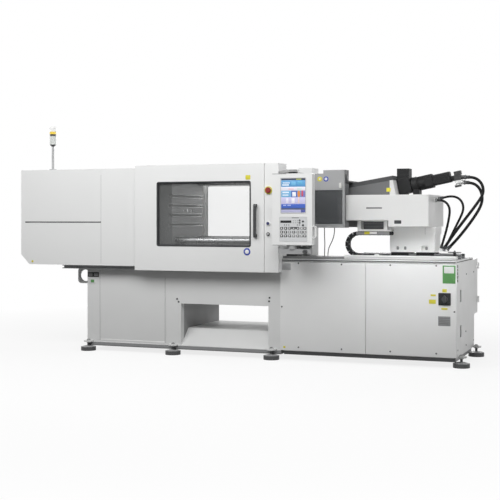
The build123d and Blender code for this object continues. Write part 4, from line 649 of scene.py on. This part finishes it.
def tile(face, centre, width, height, depth, radius, edge, tint, sink=0.5):
    # A plate on a face, its front edge rounded in three steps
    stages = [(-sink, 0), (depth - edge, 0), (depth - 0.3 * edge, 0.3 * edge), (depth, edge)]
    rings = []
    for lift, inset in stages:
        outline = roundedOutline(width - 2 * inset, height - 2 * inset, max(radius - inset, 0.05))
        rings.append(onFace(face, centre, outline, lift))
    return loft(rings, tint)


def turned(face, centre, profile, tint, sides, corners=0):
    # Circles round the centre, from (lift, radius) pairs; corners makes it a prism with that many sides,
    # each radius then divided by the cosine of the angle from the middle of its side
    ring = circle(sides)
    if corners:
        sector = 2 * np.pi / corners
        angle = np.arange(sides) * 2 * np.pi / sides
        ring = ring / np.cos((angle % sector) - sector / 2)[:, None]
    return loft([onFace(face, centre, ring * max(radius, 0.01), lift) for lift, radius in profile], tint)


def band(face, centre, width, height, radius, section, tint):
    # A closed frame round a rounded outline, from a loop of (lift, inset) pairs
    rings = []
    for lift, inset in section:
        outline = roundedOutline(width - 2 * inset, height - 2 * inset, radius - inset, 8)
        rings.append(onFace(face, centre, outline, lift))
    return loft(rings, tint, looped=True)


def collar(face, centre, outer, inner, depth, tint, edge=0.6, sides=40):
    # A flat ring round a round piece, from a loop of (lift, radius) pairs
    section = [(-0.5, outer), (depth - edge, outer), (depth, outer - edge), (depth, inner + edge),
               (depth - edge, inner), (-0.5, inner)]
    rings = [onFace(face, centre, circle(sides) * radius, lift) for lift, radius in section]
    return loft(rings, tint, looped=True)


sharpAngle = np.radians(35.0)


def assemble(name, shells, body, material, blended=None):
    # One mesh object from several closed shells, with each shell's tint kept as a point colour
    offsets = np.cumsum([0] + [len(points) for points, _, _ in shells])
    points = place(np.concatenate([points for points, _, _ in shells]))
    polygons = [[index + start for index in polygon]
                for start, (_, shellPolygons, _) in zip(offsets, shells) for polygon in shellPolygons]
    mesh = bpy.data.meshes.new(name)
    mesh.from_pydata(points.tolist(), [], polygons)
    colours = np.concatenate([np.tile([*tint, 1.0], (len(shell), 1)) for shell, _, tint in shells])
    attribute = mesh.color_attributes.new("tint", "FLOAT_COLOR", "POINT")
    attribute.data.foreach_set("color", colours.ravel())
    mesh.materials.append(materials[material])
    mesh.shade_smooth()
    mesh.set_sharp_from_angle(angle=sharpAngle)
    piece = bpy.data.objects.new(name, mesh)
    bpy.context.scene.collection.objects.link(piece)
    if blended:
        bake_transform(piece)
    else:
        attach(piece, body)
    return piece


# Windows of the sliding doors: a dark gasket in each door, with a lip over the edge of its pane
windowFrame = {"x": -463, "y": 606.3, "z": 1371.5, "size": (976, 619), "radius": 18,
               "wide": {"front": 17, "rear": 5}, "tone": (0.04, 0.042, 0.045)}
for face, side in (("front", -1), ("rear", 1)):
    centre = (windowFrame["x"], side * windowFrame["y"], windowFrame["z"])
    wide = windowFrame["wide"][face]
    section = [(0, 0.4), (17.5, 0.4), (19.6, -2.5), (20.6, -2.5), (20.6, 0.5 * wide), (19, 0.7 * wide),
               (4, wide), (0, wide)]
    gasket = band(face, centre, *windowFrame["size"], windowFrame["radius"], section, windowFrame["tone"])
    door = face + "_door"
    assemble(door + "_gasket", [gasket], door, "tinted")
print("windows framed")


# Tones of the small pieces, in linear light
tones = {
    "black": (0.016, 0.017, 0.018),
    "dark": (0.055, 0.057, 0.06),
    "slate": (0.13, 0.133, 0.138),
    "grey": (0.26, 0.262, 0.265),
    "silver": (0.5, 0.505, 0.51),
    "pale": (0.72, 0.725, 0.72),
    "white": (0.86, 0.86, 0.85),
    "yellow": (0.66, 0.60, 0.06),
    "blue": (0.05, 0.08, 0.40),
    "green": (0.11, 0.30, 0.10),
}

# Plain plates, marks and rules: (face, centre, width, height, depth, corner radius, tone)
plates = {
    "machine_base": [
        ("front", (-2034.5, -575, 1293), 881, 11, 1.2, 0.7, "dark"),
        ("front", (-2389, -575, 891), 22, 20, 0.8, 2, "yellow"),
        ("front", (-1732.5, -482, 763), 129, 48, 1.4, 3, "black"),
        ("front", (-1765, -483.2, 763), 46, 30, 0.8, 2, "grey"),
        ("front", (-1701, -483.2, 763), 46, 30, 0.8, 2, "grey"),
        ("front", (-1748.5, -482, 694), 81, 54, 1.2, 3, "pale"),
        ("front", (-1742, -483.2, 697), 38, 30, 0.8, 3, "green"),
        ("front", (344, -525, 878), 88, 62, 1.2, 2, "silver"),
        ("front", (-1594, -575, 1325), 4, 880, 0.5, 0.6, "silver"),
        # Pale and grey rules side by side along the clamp base's two folds: painted highlight and painted
        # shade
        ("front", (-1651, -482, 458), 3, 700, 0.6, 0.6, "pale"),
        ("front", (-1657, -482, 458), 3, 700, 0.4, 0.6, "grey"),
        ("front", (-932, -482, 425), 3, 634, 0.4, 0.6, "grey"),
        ("front", (-926, -482, 425), 3, 634, 0.6, 0.6, "pale"),
        # A white rule along the base's bottom ledge: painted highlight
        ("front", (-1291.5, -482, 112), 716, 12, 0.8, 0.6, "white"),
        ("front", (1866, -525, 832), 114, 160, 1.2, 4, "green"),
        ("front", (1866, -526, 872), 88, 58, 1.0, 3, "pale"),
        ("front", (1826, -525, 688), 40, 30, 0.8, 4, "yellow"),
        ("front", (1725, -525, 645), 46, 17, 0.8, 2, "yellow"),
        ("front", (1717.5, -525, 588), 62, 37, 0.8, 2, "yellow"),
        ("front", (1825, -525, 527), 58, 17, 0.8, 8, "yellow"),
        ("front", (1823.5, -525, 418), 109, 85, 1.2, 2, "grey"),
        ("front", (325, -525, 124), 22, 18, 0.8, 2, "yellow"),
        ("front", (1827, -530.9, 613), 111, 111, 1.2, 6, "black"),
        ("right", (1923, -315, 311.5), 67, 106, 1.5, 3, "black"),
        ("right", (1923, -315, 630), 67, 109, 1.5, 3, "black"),
        ("right", (882, -351, 1698), 112, 84, 2.0, 3, "dark"),
        ("right", (882, -351, 1600), 112, 96, 2.0, 3, "slate"),
        ("top", (600, -488, 955), 604, 30, 22, 3, "grey"),
    ] + [("right", (1933, -479, z), 38, 26, 1.5, 2, "black") for z in (903, 871, 839, 807, 775)]
    + [("front", (1823.5, -526.2, z), 96, 4, 0.5, 0.6, "slate") for z in (444, 428, 412, 396)],
    "front_door": [
        ("front", (-2, -625, 1715), 50, 44, 0.8, 8, "yellow"),
    ],
    "guard_door": [
        ("front", (639, -424.3, 1697), 46, 44, 0.8, 20, "yellow"),
        ("front", (639, -424.9, 1697), 17, 17, 0.8, 8, "pale"),
    ],
    "carriage": [
        ("front", (1242, -200, 1597), 40, 36, 0.8, 3, "yellow"),
        ("front", (1367, -362, 1296), 66, 32, 1.0, 4, "dark"),
        ("front", (1617, -140, 1210), 90, 58, 0.8, 3, "silver"),
        ("front", (1617, -140.8, 1210), 84, 52, 0.8, 3, "white"),
        ("front", (1143.5, -359, 1425), 150, 15, 0.8, 2, "grey"),
        ("front", (1111, -205, 1264), 214, 72, 0.8, 2, "slate"),
        ("front", (1111, -205.8, 1283), 206, 3, 0.8, 1, "grey"),
        ("front", (1111, -205.8, 1250), 206, 3, 0.8, 1, "grey"),
        ("front", (1111, -281.4, 1192), 316, 29, 1.4, 3, "grey"),
        ("front", (1057, -282.8, 1194), 51, 25, 0.8, 2, "yellow"),
        ("front", (1117, -282.8, 1194), 67, 21, 0.8, 2, "white"),
    ] + [("front", (x, -140, 1052), 22, 30, 1.0, 6, "grey") for x in (1317, 1387, 1587)],
    "platen": [("right", (-901, 0, z + side * 14), 740, 6, 0.5, 0.5, "silver")
               for z in (1267.5, 1362.5, 1457.5, 1552.5) for side in (-1, 1)],
    "panel": [
        ("front", (398, -875, 1731), 134, 4, 0.6, 0.6, "slate"),
        ("front", (519, -875, 1088), 372, 4, 0.6, 0.6, "slate"),
    ],
}

# Screws with socket heads: (face, centre, radius, tone)
screws = {
    "machine_base": [("front", (x, -525, z), 8, "slate") for x, z in (
        (464, 911), (880, 906), (1336, 907), (1752, 908), (300, 502), (1913, 503), (464, 128), (880, 128),
        (1336, 128), (1752, 128))]
    + [("right", (1933, y, z), 8, "grey") for y, z in (
        (-20, 815), (-48, 286), (-32, 158), (-470, 815), (-470, 158), (405, 815), (405, 158))]
    + [("front", (x, -482, z), 9, "dark") for x, z in ((-801, 542), (-784, 514), (162, 578), (157, 545))],
}

# Round marks: (face, centre, outer radius, inner radius, outer tone, inner tone)
rounds = {
    "front_door": [("front", (-12, -625, 1016), 35, 20, "blue", "white")],
    "guard_door": [("front", (701, -424.3, 1697), 24, 13, "blue", "pale")],
}


plateEdge = 0.4
socketHead = [(-0.5, 1.0), (0.3, 1.0), (0.5, 0.86), (0.5, 0.5), (0.12, 0.46)]


def screwHead(face, centre, radius, tone):
    # A domed head with a round socket sunk in it, from shares of its radius
    profile = [(max(lift, -0.1) * radius, share * radius) for lift, share in socketHead]
    return turned(face, centre, profile, tones[tone], 20)


def roundMark(face, centre, outer, inner, outerTone, innerTone):
    # A thin disc with a smaller one on it
    _, _, normal = faces[face]
    raised = np.array(centre, float) + 0.8 * np.array(normal)
    return [
        turned(face, centre, [(-0.4, outer), (0.5, outer), (0.8, outer - 0.5)], tones[outerTone], 28),
        turned(face, raised, [(-0.4, inner), (0.4, inner), (0.6, inner - 0.4)], tones[innerTone], 24),
    ]


for body in sorted(set(plates) | set(screws) | set(rounds)):
    shells = [tile(face, centre, width, height, depth, radius, plateEdge, tones[tone])
              for face, centre, width, height, depth, radius, tone in plates.get(body, [])]
    shells += [screwHead(*row) for row in screws.get(body, [])]
    for row in rounds.get(body, []):
        shells += roundMark(*row)
    assemble(body + "_marks", shells, body, "tinted")
print("plates and screws set")


# Operator panel: picture on the display, in layers that rise by a step each
display = {"left": 416, "right": 644, "top": 1688, "bottom": 1382, "face": -874.0, "layer": 0.05,
           "step": 0.012, "corner": 0.8, "edge": 0.02, "sink": 0.2}
displayWidth = display["right"] - display["left"]
displayHeight = display["top"] - display["bottom"]
# Areas of the picture in shares of the display, from its left and top: (left, top, right, bottom, colour)
picture = [
    (0.00, 0.00, 1.00, 0.05, (0.04, 0.05, 0.09)),
    (0.62, 0.01, 0.84, 0.04, (0.45, 0.50, 0.10)),
    (0.00, 0.05, 1.00, 0.245, (0.10, 0.33, 0.62)),
    (0.06, 0.11, 0.36, 0.15, (0.55, 0.70, 0.85)),
    (0.42, 0.09, 0.60, 0.20, (0.16, 0.46, 0.72)),
    (0.68, 0.08, 0.88, 0.17, (0.12, 0.42, 0.66)),
    (0.04, 0.17, 0.32, 0.21, (0.72, 0.82, 0.92)),
    (0.00, 0.245, 1.00, 0.355, (0.78, 0.76, 0.84)),
    (0.30, 0.28, 0.52, 0.34, (0.80, 0.60, 0.66)),
    (0.66, 0.27, 0.86, 0.33, (0.64, 0.76, 0.76)),
    (0.00, 0.355, 0.40, 0.55, (0.17, 0.42, 0.68)),
    (0.05, 0.39, 0.32, 0.43, (0.72, 0.82, 0.92)),
    (0.05, 0.47, 0.30, 0.51, (0.66, 0.78, 0.90)),
    (0.42, 0.355, 0.66, 0.55, (0.06, 0.12, 0.42)),
    (0.46, 0.40, 0.61, 0.53, (0.86, 0.88, 0.94)),
    (0.84, 0.355, 0.91, 0.53, (0.62, 0.08, 0.12)),
    (0.91, 0.355, 1.00, 0.55, (0.20, 0.20, 0.50)),
    (0.00, 0.55, 1.00, 0.75, (0.58, 0.56, 0.78)),
    (0.20, 0.58, 0.30, 0.72, (0.78, 0.76, 0.88)),
    (0.43, 0.58, 0.56, 0.72, (0.84, 0.82, 0.90)),
    (0.70, 0.56, 0.76, 0.72, (0.80, 0.62, 0.58)),
    (0.00, 0.75, 1.00, 0.87, (0.05, 0.12, 0.50)),
    (0.08, 0.775, 0.20, 0.805, (0.40, 0.48, 0.78)),
    (0.26, 0.775, 0.40, 0.805, (0.40, 0.48, 0.78)),
    (0.00, 0.87, 1.00, 0.915, (0.06, 0.08, 0.16)),
    (0.00, 0.915, 0.82, 1.00, (0.42, 0.42, 0.62)),
    (0.82, 0.915, 1.00, 1.00, (0.08, 0.10, 0.34)),
]
lobe = {"centre": (0.735, 0.455), "width": 0.12, "height": 0.20, "colour": (0.75, 0.28, 0.08), "sides": 28,
        "profile": [(0.1, 1.0), (0.4, 1.0), (0.45, 0.96)]}


def onDisplay(across, down):
    # A place on the display, from shares of its width and height
    return (display["left"] + across * displayWidth, display["face"], display["top"] - down * displayHeight)


shells = []
for order, (left, top, right, bottom, colour) in enumerate(picture):
    depth = display["layer"] + display["step"] * order
    centre = onDisplay((left + right) / 2, (top + bottom) / 2)
    shells.append(tile("front", centre, (right - left) * displayWidth, (bottom - top) * displayHeight, depth,
                       display["corner"], display["edge"], colour, display["sink"]))
oval = circle(lobe["sides"]) * (lobe["width"] * displayWidth / 2, lobe["height"] * displayHeight / 2)
rings = [onFace("front", onDisplay(*lobe["centre"]), oval * share, lift)
         for lift, share in lobe["profile"]]
shells.append(loft(rings, lobe["colour"]))
assemble("displayPicture", shells, "panel", "display")

# Its bezels: (centre, width, height, corner radius, section)
panelFace = -875.0
bezels = [
    ((530, panelFace, 1535), 243, 321, 7,
     [(-0.4, 0), (1.6, 0), (2.4, 1.2), (2.4, 5), (0.8, 6.5), (-0.4, 6.5)]),
    ((531, panelFace, 1232), 262, 222, 6,
     [(-0.4, 0), (1.0, 0), (1.5, 0.8), (1.5, 2.4), (0.8, 3.2), (-0.4, 3.2)]),
]
# Its keys in rows, each with a round mark
keys = {"z": (1240, 1206, 1172), "x": (421, 459, 497, 536, 575, 612, 641), "width": 28, "height": 24,
        "depth": 1.4, "corner": 4, "edge": 0.5, "blackColumns": (0, 1), "whiteMarks": (0, 1, 5, 6)}
keyMark = {"left": 1, "profile": [(-0.3, 6.5), (0.4, 6.5), (0.7, 5.4)], "sides": 18}
# Small tiles beside them: (x, z, width, height, depth, corner radius, edge, tone)
keyTiles = [
    (461, 1300, 104, 22, 1.4, 3, 0.5, "black"),
    (545, 1244, 70, 16, 2.0, 3, 0.5, "dark"),
    (551, 1334, 70, 5, 1.0, 1, 0.3, "dark"),
]
# Round buttons and lights: (x of each, z of each, profile, tone, sides)
buttons = [
    ((591,), (1311, 1290), [(-0.4, 9), (2.5, 8.6), (3.2, 7.4)], "slate", 22),
    ((623,), (1302, 1268), [(-0.4, 10), (3.0, 9.4), (4.0, 8.0)], "dark", 22),
    ((447, 468, 489, 571, 590), (1270,), [(-0.4, 5), (1.4, 5), (2.0, 4.2)], "slate", 16),
    ((531, 550, 569), (1308, 1290), [(-0.4, 4), (1.2, 4), (1.8, 3.2)], "grey", 14),
]
shells = [band("front", *bezel, tones["silver"]) for bezel in bezels]
for row, z in enumerate(keys["z"]):
    for column, x in enumerate(keys["x"]):
        tone = "black" if column in keys["blackColumns"] else ("slate", "grey")[(row + column) % 2]
        markTone = "white" if column in keys["whiteMarks"] else "pale"
        shells.append(tile("front", (x, panelFace, z), keys["width"], keys["height"], keys["depth"],
                           keys["corner"], keys["edge"], tones[tone]))
        mark = (x - keyMark["left"], panelFace - keys["depth"], z)
        shells.append(turned("front", mark, keyMark["profile"], tones[markTone], keyMark["sides"]))
shells += [tile("front", (x, panelFace, z), width, height, depth, radius, edge, tones[tone])
           for x, z, width, height, depth, radius, edge, tone in keyTiles]
shells += [turned("front", (x, panelFace, z), profile, tones[tone], sides)
           for across, heights, profile, tone, sides in buttons for x in across for z in heights]
assemble("panelKeys", shells, "panel", "tinted")
print("operator panel dressed")


# Energy chain: side plates, pins and bars of every link, along the lower run, the bend and the upper run.
# A link's side plates lie inside its neighbours'.
chain = {"start": (1104, -250, 984), "pitch": 46, "height": 37, "halfWidth": 31, "straight": 3, "bend": 7,
         "upper": 7, "bendStart": 192.86, "bendTurn": 25.714}
linkPlate = {"thick": 5, "overlap": 0.42, "gap": 0.3, "corner": 14, "edge": 0.8}
linkBar = {"width": 16, "shorter": 14, "inset": 4.5, "thick": 2.2, "corner": 2, "edge": 0.6}
linkPin = {"inset": 0.2, "profile": [(-1.5, 7.5), (0.8, 7.5), (1.3, 6.4), (1.3, 3), (0.5, 2.6)], "sides": 18}
linkSlit = {"lift": 11, "width": 6, "height": 11, "thick": 0.6, "corner": 1, "edge": 0.2, "inset": 0.2}
chainFold = {"x": 0.85725, "y": -0.1705, "low": 0.99, "belowTop": 0.006}
headings = [180.0] * chain["straight"]
headings += [chain["bendStart"] + chain["bendTurn"] * k for k in range(chain["bend"])]
headings += [360.0] * chain["upper"]


def chainLink(start, heading, order):
    # Shells of one link and where the next one starts: u runs along the link, v across it, towards the
    # inside of the bend
    turn = np.radians(heading)
    along = np.array([np.cos(turn), 0, -np.sin(turn)])
    across = np.array([np.sin(turn), 0, np.cos(turn)])
    faces["chainSide"] = (along, across, (0, -1, 0))
    faces["chainOuter"] = (along, (0, 1, 0), across)
    middle = start + along * chain["pitch"] / 2
    length = chain["pitch"] + chain["height"] * linkPlate["overlap"]
    reach = chain["halfWidth"] - (order % 2) * (linkPlate["thick"] + linkPlate["gap"])
    shells = []
    for back in (linkPlate["thick"] - reach, reach):
        shells.append(tile("chainSide", middle + (0, back, 0), length, chain["height"], linkPlate["thick"],
                           linkPlate["corner"], linkPlate["edge"], tones["black"], 0.0))
    for level in (-1, 1):
        bar = middle + across * level * (chain["height"] / 2 - linkBar["inset"])
        shells.append(tile("chainOuter", bar, linkBar["width"], 2 * chain["halfWidth"] - linkBar["shorter"],
                           linkBar["thick"], linkBar["corner"], linkBar["edge"], tones["dark"],
                           linkBar["thick"]))
    for face, side in (("front", -1), ("rear", 1)):
        tip = start + (0, side * (chain["halfWidth"] - linkPin["inset"]), 0)
        shells.append(turned(face, tip, linkPin["profile"], tones["slate"], linkPin["sides"]))
    if chain["straight"] < order <= chain["straight"] + chain["bend"] + 1:
        slit = start + across * linkSlit["lift"] - (0, chain["halfWidth"] + linkSlit["inset"], 0)
        shells.append(tile("chainSide", slit, linkSlit["width"], linkSlit["height"], linkSlit["thick"],
                           linkSlit["corner"], linkSlit["edge"], tones["pale"]))
    return shells, start + along * chain["pitch"]


shells = []
position = np.array(chain["start"], float)
for order, heading in enumerate(headings):
    link, position = chainLink(position, heading, order)
    shells += link
lowEnd = (chainFold["x"], chainFold["y"], chainFold["low"])
highEnd = (chainFold["x"], chainFold["y"], position[2] * millimetre - chainFold["belowTop"])
chainPiece = assemble("chainLinks", shells, None, "tinted",
                      blended=("machine_base", "carriage", lowEnd, highEnd))
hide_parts("energy_chain")
print("chain linked")


# Sleeves and nuts at both ends of each hose: (distance along the hose, what the radius gains)
crimp = [(0, 1), (1.5, 3), (9, 3), (10, 1.8), (12, 1.8), (13, 3), (21, 3), (22, 1.8), (24, 1.8), (25, 3),
         (33, 3), (35, 0.6)]
nut = [(-12, 4), (-11, 5), (-2, 5), (-1, 4)]
sleeveSides = 24


def sleeve(start, toward, radius, gains, tint, corners=0):
    # Rings square to the line from start to toward
    start = np.array(start, float)
    axis = np.array(toward, float) - start
    axis /= np.linalg.norm(axis)
    side = np.cross(axis, (0.0, 1.0, 0.0))
    side /= np.linalg.norm(side)
    faces["sleeve"] = (side, np.cross(axis, side), axis)
    profile = [(along, radius + gain) for along, gain in gains]
    return turned("sleeve", start, profile, tint, sleeveSides, corners)


shells = []
for _, radius, _, points in hoses.values():
    for start, toward in ((points[0], points[1]), (points[-1], points[-2])):
        shells.append(sleeve(start, toward, radius, crimp, tones["dark"]))
        shells.append(sleeve(start, toward, radius, nut, tones["slate"], corners=6))
assemble("hoseSleeves", shells, "carriage", "tinted")
print("hoses sleeved")

# Collars of the controls on the column, over those of the CAD: (centre, outer and inner radius, depth, tone)
controls = [
    ((204, -625, 1592), 36, 28, 11.5, "yellow"),
    ((200, -625, 1282), 21, 15.5, 8.8, "white"),
    ((200, -625, 1183), 17, 10.5, 8.8, "black"),
]
shells = [collar("front", centre, outer, inner, depth, tones[tone])
          for centre, outer, inner, depth, tone in controls]
assemble("controlCollars", shells, "machine_base", "tinted")

# Swivel ring between the operator panel and its arm
swivel = {"centre": (515, -835, 1734.2), "profile": [(0, 40), (2, 42), (11.5, 42), (13.5, 40)], "sides": 40}
shells = [turned("top", swivel["centre"], swivel["profile"], tones["black"], swivel["sides"])]
assemble("panelFittings", shells, "panel", "tinted")
print("controls ringed")

bpy.context.view_layer.update()


# Light, floor and background
def lamp(name, position, target, size, power):
    light = bpy.data.lights.new(name, "AREA")
    light.shape = "DISK"
    light.size = size
    light.energy = power
    holder = bpy.data.objects.new(name, light)
    bpy.context.scene.collection.objects.link(holder)
    holder.location = position
    holder.rotation_euler = (Vector(target) - Vector(position)).to_track_quat("-Z", "Y").to_euler()
    return holder


# Lamps: (position, target, size, watts)
lamps = {
    "keyLight": ((1.4, -3.9, 4.2), (0.9, 0, 1.2), 3.0, 107),
    "fillLight": ((-1.9, -3.9, 4.2), (-1.4, 0, 1.2), 3.0, 124),
    "endLight": ((5.6, -1.6, 3.4), (1.9, 0, 1.0), 3.0, 84),
    "leftLight": ((-6.4, -0.4, 3.4), (-2.3, 0, 1.0), 3.0, 70),
    "backLight": ((0.2, 5.2, 3.2), (0.2, 0, 1.1), 3.4, 150),
}
for name, settings in lamps.items():
    lamp(name, *settings)

# A low, narrow lamp for what the housing shades
lowLamp = ((2.9, -4.6, 0.95), (1.66, 0, 1.12), 0.8, 1.35)
lowSpread = 26  # degrees
lowLight = lamp("lowLight", *lowLamp)
lowLight.data.spread = np.radians(lowSpread)


def seenDirectly(tree):
    # 1 for what the camera, a reflection or clear glass shows
    path = node(tree, "LightPath").outputs
    first = arithmetic(tree, "MAXIMUM", path["Is Camera Ray"], path["Is Glossy Ray"])
    return arithmetic(tree, "MAXIMUM", first, path["Is Transmission Ray"])


# The background lights the object a little, more from above, and is seen as white
studio = {"heights": (-0.6, 0.9), "strengths": (0.05, 0.28)}
world = bpy.data.worlds.new("studio")
bpy.context.scene.world = world
world.use_nodes = True
tree = world.node_tree
tree.nodes.clear()
height = node(tree, "SeparateXYZ", {0: node(tree, "TexCoord").outputs["Generated"]}).outputs["Z"]
strength = remap(tree, height, *studio["heights"], *studio["strengths"])
mixed = node(tree, "Mix", {0: seenDirectly(tree), 2: strength, 3: 1.0}, data_type="FLOAT").outputs[0]
background = node(tree, "Background", {"Color": (1, 1, 1, 1), "Strength": mixed})
tree.links.new(background.outputs[0], node(tree, "OutputWorld").inputs["Surface"])

# The floor is matt, and fades to white with the distance from the middle, in metres
floorSheet = {"half": 30.0, "lines": 9, "bounced": 0.14, "seen": 0.8, "fadeFrom": 2.5, "fadeTo": 6.0,
              "nearGlow": 0.8}
span = np.linspace(-floorSheet["half"], floorSheet["half"], floorSheet["lines"])
gridX, gridY = np.meshgrid(span, span)
corners = np.stack([gridX, gridY, gridX * 0], axis=-1).reshape(-1, 3)
index = np.arange(len(corners)).reshape(gridX.shape)
quads = np.stack([index[:-1, :-1], index[:-1, 1:], index[1:, 1:], index[1:, :-1]], axis=-1).reshape(-1, 4)
floorMesh = bpy.data.meshes.new("floor")
floorMesh.from_pydata(corners.tolist(), [], quads.tolist())
floor = bpy.data.objects.new("floor", floorMesh)
bpy.context.scene.collection.objects.link(floor)
material, tree = startMaterial("paleFloor")
tone = mixColours(tree, seenDirectly(tree), [floorSheet["bounced"]] * 3, [floorSheet["seen"]] * 3)
matt = node(tree, "BsdfDiffuse", {"Color": tone})
white = node(tree, "Emission", {"Color": (1, 1, 1, 1), "Strength": 1.0})
radial = node(tree, "VectorMath", {0: onObject(tree)}, operation="LENGTH").outputs["Value"]
fade = remap(tree, radial, floorSheet["fadeFrom"], floorSheet["fadeTo"], floorSheet["nearGlow"], 1.0)
share = arithmetic(tree, "MULTIPLY", seenDirectly(tree), fade)
mix = node(tree, "MixShader", {0: share, 1: matt.outputs[0], 2: white.outputs[0]})
tree.links.new(mix.outputs[0], node(tree, "OutputMaterial").inputs["Surface"])
floorMesh.materials.append(material)
bpy.context.scene.view_settings.view_transform = "Standard"
print("stage set")
